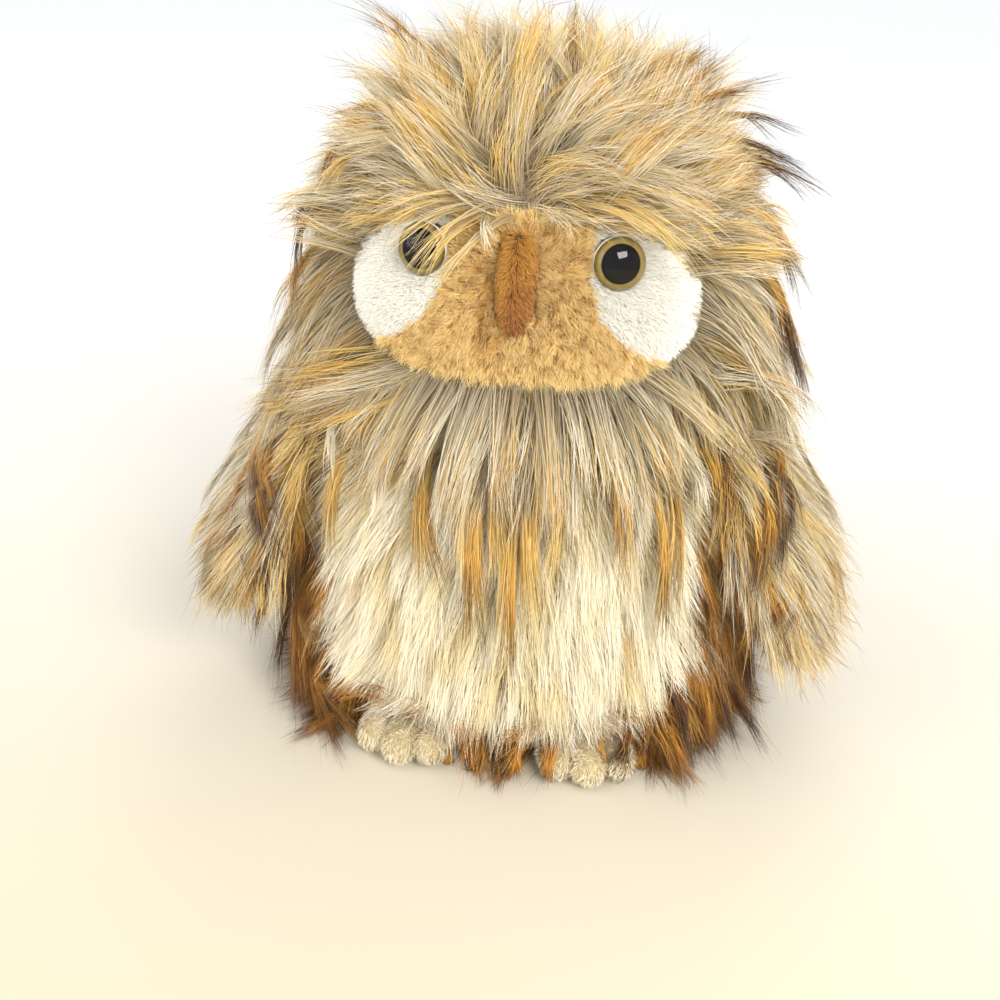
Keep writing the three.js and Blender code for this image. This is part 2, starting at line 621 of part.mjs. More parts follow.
// Head panels over the stuffing
const window = moved(faceWindow(0), headFrame);
const leftCrownLocks = crownLocks().map((lock) => moved(lock, headFrame));
const headOuter = moved(headForm(0), headFrame);
const ruffFur = join(keep(headOuter, moved(ruffRegion(0), headFrame)), ...ruffLocks());
const ruffPanel = cut(ruffFur, headInnerRoom, bodyOuterRoom, window);
const crownFur = cut(join(headOuter, ...leftCrownLocks), headInnerRoom, bodyOuterRoom, window);
const leftCrownPanel = keep(cut(crownFur, moved(ruffRegion(-GAP), headFrame)), leftOf(GAP / 2));
const headStuffing = cut(moved(headForm(LONG_PILE), headFrame), bodyInnerRoom, ...eyeRooms);

// Face patches lie on the head's stuffing, inside the window
const beakRoom = moved(beakPod(-GAP), headFrame);
const patchLayer = cut(moved(headForm(LONG_PILE - SHORT_PILE), headFrame), headInnerRoom, bodyOuterRoom);
const leftPatches = keep(
  cut(patchLayer, beakRoom, ...eyeRooms),
  moved(faceWindow(GAP), headFrame),
  leftOf(GAP / 2),
);
const leftWhitePatch = keep(leftPatches, moved(whiteRegion(GAP), headFrame));
const leftTanPatch = cut(leftPatches, moved(whiteRegion(0), headFrame));

// Beak, open at the back where it is sewn down on the stuffing
const stuffingAtBeak = headForm(LONG_PILE - GAP);
const beakCover = cut(beakPod(0), beakPod(BEAK_PILE - GAP), behind(beakMiddle + BEAK_SINK), stuffingAtBeak);
const beakStuffing = cut(beakPod(BEAK_PILE), behind(beakMiddle + BEAK_SINK), stuffingAtBeak);

// Wing pieces, cut where they lie against the body, and where they meet the head on their way up
const wingLifts = Array.from({ length: LIFT_STEPS + 1 }, (_, i) => (WING_LIFT * i) / LIFT_STEPS);
const wingNeighbours = [
  moved(bodyOuterRoom, inverse(wingFrame)),
  ...wingLifts.map((lift) => moved(headOuterRoom, inverse(wingFrameAt(lift)))),
];
const wingFur = cut(
  join(wingForm(0, WING_HALF_THICKNESS), ...wingLocks()),
  wingForm(WING_SEAM - GAP, WING_STUFFING_HALF_THICKNESS + GAP),
  ...wingNeighbours,
);
const wingOuterPanel = keep(wingFur, leftOf(WING_STAND + GAP / 2));
const wingLiningPanel = keep(wingFur, rightOf(WING_STAND - GAP / 2));
const wingStuffing = cut(wingForm(WING_SEAM, WING_STUFFING_HALF_THICKNESS), ...wingNeighbours);

// Foot pieces, which end against the body's stuffing
const stuffingAtFoot = moved(bodyInnerRoom, inverse(footFrame));
const footCover = cut(footForm(0), footPad(FOOT_PILE - GAP), stuffingAtFoot);
const footStuffing = cut(footPad(FOOT_PILE), stuffingAtFoot);

function mesh(name, geometry, finish) {
  const shape = geometryOf(solidOf(geometry)).toNonIndexed();
  const made = new THREE.Mesh(shape, new THREE.MeshStandardMaterial(finish));
  made.geometry.computeVertexNormals();
  made.name = name;
  return made;
}

function grouped(frame, ...members) {
  const group = new THREE.Group();
  group.applyMatrix4(frame);
  return group.add(...members);
}

const owl = new THREE.Group();
owl.add(
  mesh('base_panel', basePanel(), finishes.baseCloth),
  mesh('pellet_bag', pelletBag(0), finishes.bagCloth),
  mesh('body_stuffing', bodyStuffing, finishes.stuffing),
  mesh('belly_panel', bellyPanel, finishes.creamFur),
  mesh('head_stuffing', headStuffing, finishes.stuffing),
  mesh('ruff_panel', ruffPanel, finishes.taupeFur),
  grouped(
    headFrame,
    mesh('beak_cover', beakCover, finishes.beakPlush),
    mesh('beak_stuffing', beakStuffing, finishes.stuffing),
  ),
);

// Each side of the toy: the left one as made, the right one mirrored
for (const side of ['left', 'right']) {
  const mirror = new THREE.Matrix4().makeScale(side === 'left' ? 1 : -1, 1, 1);
  owl.add(grouped(
    mirror,
    mesh(`${side}_back_panel`, leftBackPanel, finishes.brownFur),
    mesh(`${side}_crown_panel`, leftCrownPanel, finishes.taupeFur),
    mesh(`${side}_white_patch`, leftWhitePatch, finishes.whitePlush),
    mesh(`${side}_tan_patch`, leftTanPatch, finishes.tanPlush),
    grouped(
      headFrame.clone().multiply(eyeFrame),
      mesh(`${side}_eye_lens`, eyeLens(), finishes.clearPlastic),
      mesh(`${side}_eye_plate`, eyePlate(), finishes.eyePaint),
      mesh(`${side}_eye_washer`, washer(), finishes.washerPlastic),
    ),
    grouped(
      wingFrame,
      mesh(`${side}_wing_outer_panel`, wingOuterPanel, finishes.taupeFur),
      mesh(`${side}_wing_lining_panel`, wingLiningPanel, finishes.brownFur),
      mesh(`${side}_wing_stuffing`, wingStuffing, finishes.stuffing),
    ),
    grouped(
      footFrame,
      mesh(`${side}_foot_cover`, footCover, finishes.footPlush),
      mesh(`${side}_foot_stuffing`, footStuffing, finishes.stuffing),
    ),
  ));
}

export default owl;
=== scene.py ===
import json
import math

import bmesh
import bpy
import numpy as np
from mathutils import Matrix, Vector, kdtree

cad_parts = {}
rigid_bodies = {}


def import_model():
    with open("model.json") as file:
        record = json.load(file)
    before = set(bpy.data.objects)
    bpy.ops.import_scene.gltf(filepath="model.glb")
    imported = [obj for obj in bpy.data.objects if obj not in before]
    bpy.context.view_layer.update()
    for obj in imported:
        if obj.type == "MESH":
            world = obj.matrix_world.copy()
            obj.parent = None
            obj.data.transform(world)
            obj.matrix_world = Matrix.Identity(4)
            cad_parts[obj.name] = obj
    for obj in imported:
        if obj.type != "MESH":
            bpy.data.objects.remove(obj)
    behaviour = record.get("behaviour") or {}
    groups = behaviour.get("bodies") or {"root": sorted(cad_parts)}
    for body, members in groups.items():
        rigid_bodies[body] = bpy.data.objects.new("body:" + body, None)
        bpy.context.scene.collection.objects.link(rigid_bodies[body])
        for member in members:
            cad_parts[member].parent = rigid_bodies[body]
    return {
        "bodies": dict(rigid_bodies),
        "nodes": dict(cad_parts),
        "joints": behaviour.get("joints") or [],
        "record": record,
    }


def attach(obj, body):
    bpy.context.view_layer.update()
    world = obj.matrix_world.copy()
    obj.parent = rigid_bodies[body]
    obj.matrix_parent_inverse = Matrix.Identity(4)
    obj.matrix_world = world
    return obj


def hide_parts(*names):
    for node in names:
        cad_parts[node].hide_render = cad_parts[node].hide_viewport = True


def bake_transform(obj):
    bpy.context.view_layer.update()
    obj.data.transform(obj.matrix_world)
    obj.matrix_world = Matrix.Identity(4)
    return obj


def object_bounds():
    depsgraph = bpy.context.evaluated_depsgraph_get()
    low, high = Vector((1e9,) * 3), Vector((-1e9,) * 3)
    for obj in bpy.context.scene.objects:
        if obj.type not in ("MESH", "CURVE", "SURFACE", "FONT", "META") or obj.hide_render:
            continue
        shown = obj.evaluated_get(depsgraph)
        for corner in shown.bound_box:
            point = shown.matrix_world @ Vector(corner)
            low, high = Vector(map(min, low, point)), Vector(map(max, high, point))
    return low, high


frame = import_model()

cad_low, cad_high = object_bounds()
rng = np.random.default_rng(592)
MM = 0.001
DOWN = np.array([0.0, 0.0, -1.0])
SIDES = ("left", "right")

# Sizes of the solids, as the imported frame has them
LONG_PILE = 14 * MM
BASE_CLOTH = 2.6 * MM
BAG_HEIGHT = 26 * MM
BAG_RADIUS = 48 * MM
SHORT_PILE = 5 * MM
BODY_HEIGHT = 170 * MM
BODY_HALF_WIDTH = 101 * MM
BODY_FRONT = 92 * MM
BODY_BACK = 89 * MM
BELLY_HALF_WIDTH = 71 * MM
HEAD_HEIGHT = 152 * MM
HEAD_HALF_WIDTH = 93 * MM
HEAD_FRONT = 84 * MM
HEAD_BACK = 82 * MM
HEAD_MIDDLE = 188 * MM
HEAD_TILT = math.radians(10)
FACE_HALF_WIDTH = 63 * MM
FACE_HALF_HEIGHT = 28.5 * MM
FACE_DROP = 5 * MM
RUFF_HALF_WIDTH = 60 * MM
EYE_RADIUS = 9.6 * MM
EYE_DOME = 6 * MM
EYE_PLATE = 1.3 * MM
EYE_SPREAD = 34.5 * MM
EYE_LIFT = 10 * MM
EYE_SINK = 1.5 * MM
EYE_YAW = math.radians(22)
POST_RADIUS = 2.3 * MM
POST_LENGTH = 14 * MM
POST_RIDGE = 0.5 * MM
POST_PITCH = 2.2 * MM
BEAK_LENGTH = 39 * MM
BEAK_HALF_WIDTH = 8.2 * MM
BEAK_DEPTH = 10 * MM
BEAK_LIFT = 1 * MM
BEAK_SINK = 2 * MM
BEAK_PILE = 2.4 * MM
WING_LENGTH = 110 * MM
WING_HALF_WIDTH = 37 * MM
WING_HALF_THICKNESS = 13 * MM
WING_STAND = 3 * MM
WING_DROP = 30 * MM
WING_YAW = math.radians(18)
WING_FLARE = math.radians(26)
FOOT_OUT = 40 * MM
FOOT_REACH = 16 * MM
FOOT_HEIGHT = 16 * MM
TOE_RADIUS = 8.5 * MM
TOE_LENGTH = 28 * MM
TOE_SPREAD = 12 * MM
TOE_STEP = 4 * MM
HEEL_LENGTH = 36 * MM
FOOT_YAW = math.radians(10)
SOLE_FLAT = 0.5 * MM
LOCK_HALF_WIDTH = 9 * MM
LOCK_HALF_THICKNESS = 5 * MM
LOCK_ROOT = 6 * MM
CROWN_LOCK_HALF_WIDTH = 17 * MM
CROWN_LOCK_HALF_THICKNESS = 8 * MM
CROWN_LOCK_REACH = 36 * MM
PARTING_LIFT = 33 * MM
RUFF_LOCK_SPAN = math.radians(72)
RUFF_LOCK_STAND = 5 * MM
WING_LOCK_REACH = 15 * MM
WING_LOCK_LENGTH = 40 * MM

# Outlines upwards, [height share, radius share], and edges of the patches, as the solids have them
body_shares = [[0, 0.9], [0.05, 0.96], [0.16, 0.995], [0.32, 1], [0.52, 0.98],
               [0.69, 0.92], [0.82, 0.81], [0.92, 0.61], [0.98, 0.34], [1, 0]]
head_shares = [[0, 0], [0.02, 0.4], [0.08, 0.7], [0.2, 0.91], [0.36, 1], [0.54, 0.985],
               [0.71, 0.88], [0.85, 0.68], [0.95, 0.41], [0.99, 0.2], [1, 0]]
wing_shares = [[0, 0], [0.01, 0.22], [0.07, 0.5], [0.21, 0.82], [0.43, 1], [0.65, 0.95],
               [0.88, 0.72], [0.98, 0.42], [1, 0]]
belly_shares = [[0.6, -0.1], [0.82, 0.12], [1, 0.42], [0.96, 0.66], [0.78, 0.9], [0.7, 1.2]]
white_edge_shares = [[0.38, 1.6], [0.38, 0.3], [0.44, -0.15], [0.62, -0.52], [0.86, -0.78], [1.5, -0.95]]
crown_row_shares = [(0.64, 0.24, [1, 0.78, 0.92, 0.7, 0.97]), (0.8, 0.02, [0.92, 0.7, 0.97, 0.84, 0.88]),
                    (0.93, 0.1, [0.97, 0.84, 0.88])]
crown_lean_shares = [0.42, 0.95]
ruff_root_share = 0.24
ruff_tip_shares = [0.7, 0.63, 0.68, 0.58, 0.65, 0.56, 0.69, 0.6, 0.7]
ruff_bow_share = 0.35
wing_lock_shares = [0.62, 0.9, 1, 0.85, 0.55]
wing_lock_span_share = 0.9
POD_SHARE = 0.7
BAG_SHARE = 0.6
BODY_CORNER_SHARE = 0.86
WINDOW_CORNER_SHARE = 0.72


def unit(vectors):
    return vectors / np.maximum(np.linalg.norm(vectors, axis=-1, keepdims=True), 1e-12)


def ease(low, high, value):
    share = np.clip((value - low) / (high - low), 0, 1)
    return share * share * (3 - 2 * share)


def across(vectors, normals):
    """The part of each vector that lies in the surface."""
    return vectors - normals * np.sum(vectors * normals, axis=-1, keepdims=True)


def smooth_line(shares, per_span=24):
    """A smooth line through a table of [share, share]."""
    table = np.array(shares, float)
    ends = np.vstack([table[:1] * 2 - table[1:2], table, table[-1:] * 2 - table[-2:-1]])
    t = np.linspace(0, 1, per_span, endpoint=False)[:, None]
    spans = []
    for a, b, c, d in zip(ends, ends[1:], ends[2:], ends[3:]):
        spans.append(b + t * (c - a) / 2 + t ** 2 * (a - 2.5 * b + 2 * c - d / 2)
                     + t ** 3 * (1.5 * (b - c) + (d - a) / 2))
    line = np.vstack([*spans, table[-1:]])
    return np.maximum.accumulate(line[:, 0]), np.maximum(line[:, 1], 0)


def frame_of(x=0.0, y=0.0, z=0.0, turn_x=0.0, turn_y=0.0, turn_z=0.0):
    return (Matrix.Translation((x, y, z)) @ Matrix.Rotation(turn_z, 4, "Z")
            @ Matrix.Rotation(turn_y, 4, "Y") @ Matrix.Rotation(turn_x, 4, "X"))


def mirror_of(side):
    return Matrix.Diagonal((1 if side == "left" else -1, 1, 1, 1))


def ring_quads(rows, around, frame):
    """The quads of a tube of rings, turned over where its frame is a mirrored one."""
    grid = np.arange(rows * around).reshape(rows, around)
    beside = np.roll(grid, -1, 1)
    quads = np.stack([grid[:-1], beside[:-1], beside[1:], grid[1:]], -1).reshape(-1, 4)
    return quads[:, ::-1] if np.linalg.det(frame[:3, :3]) < 0 else quads


def moved(points, matrix):
    """Points of a frame as the frame outside it has them."""
    return points @ matrix[:3, :3].T + matrix[:3, 3]


class Form:
    """A round solid of oval sections, upright in a frame of its own."""

    def __init__(self, shares, low, high, half_width, front, back, fullness=1.0, frame=Matrix.Identity(4)):
        self.heights, self.radii = smooth_line(shares)
        self.low, self.high = low, high
        self.half_width, self.front, self.back = half_width, front, back
        self.fullness = fullness
        self.frame = np.array(frame)

    def local(self, points):
        return (points - self.frame[:3, 3]) @ self.frame[:3, :3]

    def world(self, points):
        return moved(points, self.frame)

    def at(self, turn, share):
        """Points in the form's own frame, at a turn round it and a height share."""
        radius = np.interp(share, self.heights, self.radii)
        c, s = np.cos(turn), np.sin(turn)
        x = radius * np.sign(c) * np.abs(c) ** self.fullness * self.half_width
        y = radius * np.sign(s) * np.abs(s) ** self.fullness * np.where(s < 0, self.front, self.back)
        return np.stack([x, y, self.low + share * (self.high - self.low)], -1)

    def ring(self, points):
        """The size of the oval through each point, as a share of the widest, and its height share."""
        x = np.abs(points[..., 0]) / self.half_width
        y = np.abs(points[..., 1]) / np.where(points[..., 1] < 0, self.front, self.back)
        power = 2 / self.fullness
        return (x ** power + y ** power) ** (1 / power), (points[..., 2] - self.low) / (self.high - self.low)

    def level(self, points):
        """Zero on the surface, less inside and more outside."""
        ring, share = self.ring(points)
        past_ends = np.maximum(np.maximum(share - 1, -share), 0)
        return ring - np.interp(share, self.heights, self.radii) + past_ends

    def lift(self, points):
        """How far points are off the surface, and the way out."""
        at, reach = self.local(points), 0.5 * MM
        slopes = []
        for axis in np.eye(3):
            slopes.append((self.level(at + axis * reach) - self.level(at - axis * reach)) / (2 * reach))
        slope = np.stack(slopes, -1)
        steep = np.maximum(np.linalg.norm(slope, axis=-1), 1 / self.half_width / 2)
        ring, share = self.ring(at)
        beside = (ring - 1) * min(self.half_width, self.front, self.back)
        beyond = np.maximum(share - 1, -share) * (self.high - self.low)
        height = np.maximum(self.level(at) / steep, np.maximum(beside, beyond))
        return height, unit(slope) @ self.frame[:3, :3].T

    def scatter(self, count):
        """Evenly spread points on the surface, and the way out there."""
        share = np.linspace(0, 1, 600)
        ring = self.at(np.full_like(share, 0.8), share)
        width = np.hypot(ring[:, 0], ring[:, 1])
        run = np.hypot(np.diff(width), np.diff(ring[:, 2])) * (width[1:] + width[:-1])
        grown = np.concatenate([[0], np.cumsum(run)]) / np.sum(run)
        heights = np.interp((np.arange(count) + rng.random(count) * 0.8) / count, grown, share)
        turns = np.arange(count) * math.pi * (3 - math.sqrt(5)) + rng.normal(0, 0.01, count)
        points = self.world(self.at(turns, heights))
        return points, self.lift(points)[1]

    def skin(self, around, rows):
        """Points and quads all over the form."""
        turns, shares = np.meshgrid(np.arange(around) * 2 * math.pi / around, np.linspace(0.0, 1.0, rows))
        return self.world(self.at(turns, shares).reshape(-1, 3)), ring_quads(rows, around, self.frame)


def ball_shares(fullness, count=24):
    turns = np.linspace(0, math.pi, count)
    return np.stack([(1 - np.cos(turns)) / 2, np.maximum(np.sin(turns), 0) ** fullness], -1)


# The forms that carry the pile
CLOTH = 1.5 * MM  # from the stuffing to the outside of the backing cloth
head_frame = frame_of(z=HEAD_MIDDLE, turn_x=-HEAD_TILT)


def head_form(inset):
    return Form(head_shares, -HEAD_HEIGHT / 2 + inset, HEAD_HEIGHT / 2 - inset,
                HEAD_HALF_WIDTH - inset, HEAD_FRONT - inset, HEAD_BACK - inset, 1.0, head_frame)


def body_form(inset):
    return Form(body_shares, 0, BODY_HEIGHT - inset,
                BODY_HALF_WIDTH - inset, BODY_FRONT - inset, BODY_BACK - inset, BODY_CORNER_SHARE)


head = head_form(LONG_PILE - CLOTH)
body = body_form(LONG_PILE - CLOTH)


def face_at(x, z, inset):
    """Where the front of the head is at a place on the face, in the head's frame."""
    form = head_form(inset)
    share = (z - form.low) / (form.high - form.low)
    radius = np.interp(share, form.heights, form.radii)
    return -form.front * radius * np.sqrt(np.maximum(1 - (x / (form.half_width * radius)) ** 2, 0))


def wing_frame(side):
    share = np.interp((BODY_HEIGHT - WING_DROP) / BODY_HEIGHT, *smooth_line(body_shares))
    x = share * BODY_HALF_WIDTH * math.cos(WING_YAW) ** BODY_CORNER_SHARE
    y = -share * BODY_FRONT * math.sin(WING_YAW) ** BODY_CORNER_SHARE
    seam = frame_of(x, y, BODY_HEIGHT - WING_DROP, turn_z=-WING_YAW, turn_y=-WING_FLARE)
    return mirror_of(side) @ seam @ frame_of(x=WING_STAND)


def wing_form(side, inset, half_thickness):
    return Form(wing_shares, inset - WING_LENGTH, -inset, half_thickness,
                WING_HALF_WIDTH - inset, WING_HALF_WIDTH - inset, 1.0, wing_frame(side))


def eye_frame(side):
    seat = frame_of(EYE_SPREAD, face_at(EYE_SPREAD, EYE_LIFT, LONG_PILE - SHORT_PILE) + EYE_SINK, EYE_LIFT,
                    turn_z=EYE_YAW)
    return mirror_of(side) @ head_frame @ seat


beak_middle = face_at(0, BEAK_LIFT, LONG_PILE - SHORT_PILE) + BEAK_SINK


def beak_form(inset):
    half = BEAK_LENGTH / 2 - inset
    return Form(ball_shares(POD_SHARE), -half, half, BEAK_HALF_WIDTH - inset, BEAK_DEPTH - inset,
                BEAK_DEPTH - inset, 1.0, head_frame @ frame_of(0, beak_middle, BEAK_LIFT))


def foot_pods(side, inset):
    """The heel and the three toes of a foot."""
    front = -BODY_FRONT * body_shares[0][1]
    foot = mirror_of(side) @ frame_of(FOOT_OUT, front - FOOT_REACH, 0, turn_z=FOOT_YAW)
    pods = [(HEEL_LENGTH, TOE_SPREAD + TOE_RADIUS, 0, TOE_LENGTH / 2)]
    pods += [(TOE_LENGTH, TOE_RADIUS, place * TOE_SPREAD, abs(place) * TOE_STEP) for place in (-1, 0, 1)]
    half_height = FOOT_HEIGHT / 2 - inset
    return [Form(ball_shares(POD_SHARE), inset - length / 2, length / 2 - inset,
                 radius - inset, half_height, half_height, 1.0,
                 foot @ frame_of(x, y + length / 2, FOOT_HEIGHT / 2 - SOLE_FLAT, turn_x=math.pi / 2))
            for length, radius, x, y in pods]


def window_level(at, inset=0.0):
    """Under one inside the face window; at is in the head's frame."""
    power = 2 / WINDOW_CORNER_SHARE
    x = np.abs(at[..., 0]) / (FACE_HALF_WIDTH - inset)
    z = np.abs(at[..., 2] + FACE_DROP) / (FACE_HALF_HEIGHT - inset)
    return np.where(at[..., 1] < 0, (x ** power + z ** power) ** (1 / power), 9.0)


def white_share(at):
    """Over zero on the white patches, in metres from the seam; at is in the head's frame."""
    edge = np.array(white_edge_shares) * [FACE_HALF_WIDTH, FACE_HALF_HEIGHT] - [0, FACE_DROP]
    seam = np.interp(at[..., 2], edge[::-1, 1], edge[::-1, 0])
    return np.abs(at[..., 0]) - seam


def in_belly(points, inset=0.0):
    table = np.array(belly_shares)
    half = np.interp(points[..., 2] / BODY_HEIGHT, table[:, 1], table[:, 0]) * BELLY_HALF_WIDTH - inset
    return (np.abs(points[..., 0]) < half) & (points[..., 1] < 0)


# Materials


def linear(code):
    """A hex colour in sRGB as linear red, green, blue and alpha."""
    parts = [int(code[i:i + 2], 16) / 255 for i in (1, 3, 5)]
    return [c / 12.92 if c <= 0.04045 else ((c + 0.055) / 1.055) ** 2.4 for c in parts] + [1.0]


def node(tree, kind, settings=None, **inputs):
    """Adds a node. settings are its attributes; inputs are values or sockets, by name with _ for a space,
    or by n and their number."""
    made = tree.nodes.new(kind)
    for key, value in (settings or {}).items():
        setattr(made, key, value)
    for key, value in inputs.items():
        numbered = key[0] == "n" and key[1:].isdigit()
        socket = made.inputs[int(key[1:]) if numbered else key.replace("_", " ")]
        if isinstance(value, bpy.types.NodeSocket):
            tree.links.new(value, socket)
        else:
            socket.default_value = value
    return made


def material(name, **settings):
    """A new material, its node tree and its shader with these inputs set."""
    made = bpy.data.materials.new(name)
    made.use_nodes = True
    shader = made.node_tree.nodes["Principled BSDF"]
    for key, value in settings.items():
        shader.inputs[key.replace("_", " ")].default_value = value
    return made, made.node_tree, shader


def ramp(tree, at, stops):
    made = node(tree, "ShaderNodeValToRGB", Fac=at)
    elements = made.color_ramp.elements
    elements[0].position, elements[0].color = stops[0][0], linear(stops[0][1])
    elements[1].position, elements[1].color = stops[-1][0], linear(stops[-1][1])
    for place, code in stops[1:-1]:
        elements.new(place).color = linear(code)
    return made.outputs["Color"]


def streak(tree, shader, at, stretch, colour, detail, **spread):
    """Gives the shader a colour in lighter and darker streaks. stretch is how dense they are, each way."""
    dense = node(tree, "ShaderNodeVectorMath", {"operation": "MULTIPLY"}, n0=at, n1=stretch)
    grain = node(tree, "ShaderNodeTexNoise", Vector=dense.outputs[0], Scale=1.0, Detail=detail)
    bright = node(tree, "ShaderNodeMapRange", Value=grain.outputs["Fac"], **spread)
    varied = node(tree, "ShaderNodeHueSaturation", Value=bright.outputs[0], Color=colour)
    tree.links.new(varied.outputs["Color"], shader.inputs["Base Color"])


def roughen(tree, shader, height, strength, depth, settings=None):
    bump = node(tree, "ShaderNodeBump", settings, Height=height, Strength=strength, Distance=depth)
    tree.links.new(bump.outputs["Normal"], shader.inputs["Normal"])


TINT_BLEND = 0.03  # how far, in the dye's share, one family of dyes runs into the next


def pile(name, families, jitter=0.3, **settings):
    """Dyed fibres. The strand map holds the dye across, one family after another, and root to tip upwards.
    Each family darkens towards the root: painted shade, for the shadow deep in the pile.
    """
    made, tree, shader = material(name, **settings)
    strand = node(tree, "ShaderNodeUVMap", {"uv_map": "strand"}).outputs["UV"]
    split = node(tree, "ShaderNodeSeparateXYZ", Vector=strand)
    dye, along = split.outputs["X"], split.outputs["Y"]
    colour = None
    for share, stops in families:
        shade = ramp(tree, along, stops)
        if colour is None:
            colour = shade
            continue
        here = node(tree, "ShaderNodeMapRange", Value=dye, From_Min=share - TINT_BLEND,
                    From_Max=share + TINT_BLEND)
        mixed = node(tree, "ShaderNodeMix", {"data_type": "RGBA"}, n0=here.outputs[0], n6=colour, n7=shade)
        colour = mixed.outputs[2]
    streak(tree, shader, strand, (160, 1.5, 1), colour, 1.0, From_Min=0.3, From_Max=0.7,
           To_Min=1 - jitter, To_Max=1 + jitter / 2)
    return made


PILE_SHINE = dict(Roughness=0.55, Sheen_Weight=0.2, Sheen_Roughness=0.4)

# In every pile below, the darker root end of each family is painted shade of the pile's depth
# Long acrylic pile: a grey-taupe or straw undercoat, and longer guard hairs that turn amber and end black
taupe_pile = pile("acrylic_pile_tipped_taupe", [
    (0.0, [(0, "#a3977d"), (0.3, "#c9bea4"), (0.7, "#ded4bb"), (1, "#ece3cd")]),
    (0.18, [(0, "#85765c"), (0.3, "#ad9d80"), (0.7, "#c8b998"), (1, "#dacdae")]),
    (0.38, [(0, "#86704a"), (0.3, "#bc9e60"), (0.7, "#debd6e"), (1, "#f0d590")]),
    (0.64, [(0, "#94836a"), (0.3, "#cbb070"), (0.55, "#e0ad46"), (0.73, "#b87e28"), (0.85, "#54361a"),
            (1, "#1d130c")]),
    (0.88, [(0, "#8a7450"), (0.4, "#a3742e"), (0.7, "#5a3a17"), (1, "#17100b")]),
], jitter=0.22, **PILE_SHINE)

# The same pile dyed brown: amber lengths and near-black tips
brown_pile = pile("acrylic_pile_tipped_brown", [
    (0.0, [(0, "#7b6138"), (0.4, "#b08744"), (0.8, "#cda35a"), (1, "#dcb874")]),
    (0.26, [(0, "#7a5220"), (0.35, "#c88a28"), (0.65, "#d99a2e"), (0.86, "#8a5214"), (1, "#22150a")]),
    (0.6, [(0, "#53340f"), (0.4, "#80501f"), (0.75, "#54310f"), (1, "#1c1209")]),
    (0.88, [(0, "#2f2010"), (0.5, "#251a0e"), (1, "#100c07")]),
], **PILE_SHINE)

# Undyed pile of the belly: cream with warm lights
cream_pile = pile("acrylic_pile_cream", [
    (0.0, [(0, "#cfbc8c"), (0.35, "#f0e4c2"), (1, "#fdf8e8")]),
    (0.5, [(0, "#c2a768"), (0.4, "#e8d49e"), (1, "#f6eac6")]),
    (0.86, [(0, "#a98e5c"), (0.5, "#cdb077"), (1, "#b58d4a")]),
], jitter=0.12, **PILE_SHINE)

# Short cut plush, bleached: an even white nap
white_plush = pile("cut_plush_white", [
    (0.0, [(0, "#faf5e6"), (0.5, "#fffcf2"), (1, "#fffefa")]),
    (0.6, [(0, "#f5eedb"), (0.5, "#fffaec"), (1, "#fffdf6")]),
], jitter=0.03, Roughness=0.8, Sheen_Weight=0.3, Sheen_Roughness=0.5)

# Curly plush, honey coloured, paler to its tips: partly the fibre's colour, partly painted highlight where
# the tips catch the light. Its darkest family also makes the painted shadow beside the beak
tan_plush = pile("curled_plush_honey", [
    (0.0, [(0, "#cd9a46"), (0.45, "#e4b65c"), (1, "#f1d184")]),
    (0.4, [(0, "#d9ac58"), (0.45, "#eec877"), (1, "#f9e2a8")]),
    (0.8, [(0, "#ac7a30"), (0.45, "#c8953e"), (1, "#e0b35e")]),
], jitter=0.1, Roughness=0.7, Sheen_Weight=0.25, Sheen_Roughness=0.5)

# Short combed plush of the beak, orange-brown with darker ends
beak_plush = pile("combed_plush_chestnut", [
    (0.0, [(0, "#8a5a18"), (0.5, "#b67e26"), (1, "#cd9842")]),
    (0.4, [(0, "#7a4514"), (0.5, "#a26324"), (1, "#bb823e")]),
    (0.75, [(0, "#62360f"), (0.5, "#834a1a"), (1, "#9e6630")]),
], jitter=0.15, Roughness=0.6, Sheen_Weight=0.2, Sheen_Roughness=0.4)

# Short plush of the feet, a greyed cream
foot_plush = pile("cut_plush_oatmeal", [
    (0.0, [(0, "#d0bf94"), (0.5, "#efe2c0"), (1, "#fbf4df")]),
    (0.6, [(0, "#bfae82"), (0.5, "#e0d1aa"), (1, "#f2e8cc")]),
], jitter=0.15, Roughness=0.75, Sheen_Weight=0.25, Sheen_Roughness=0.5)

STITCH_MM = 1.6  # loops of the knitted backing
FIBRE_MM = 0.9  # tangle of the stuffing


def knitted(name, dark, light, pitch_mm=STITCH_MM):
    """Cloth or matted fibre: raised loops with painted shade in the hollows between them, uneven over a wider
    scale.
    """
    made, tree, shader = material(name, Roughness=0.9, Sheen_Weight=0.2, Sheen_Roughness=0.6)
    place = node(tree, "ShaderNodeTexCoord").outputs["Object"]
    loops = node(tree, "ShaderNodeTexVoronoi", Vector=place, Scale=1 / (pitch_mm * MM), Randomness=0.35)
    worn = node(tree, "ShaderNodeTexNoise", Vector=place, Scale=1 / (12 * pitch_mm * MM), Detail=4.0)
    mixed = node(tree, "ShaderNodeMath", {"operation": "MULTIPLY_ADD"}, n0=loops.outputs["Distance"], n1=-0.7,
                 n2=worn.outputs["Fac"])
    shade = node(tree, "ShaderNodeMapRange", Value=mixed.outputs[0], From_Min=-0.2, From_Max=0.7)
    tree.links.new(ramp(tree, shade.outputs[0], [(0, dark), (1, light)]), shader.inputs["Base Color"])
    roughen(tree, shader, loops.outputs["Distance"], 0.6, 0.3 * pitch_mm * MM, {"invert": True})
    return made
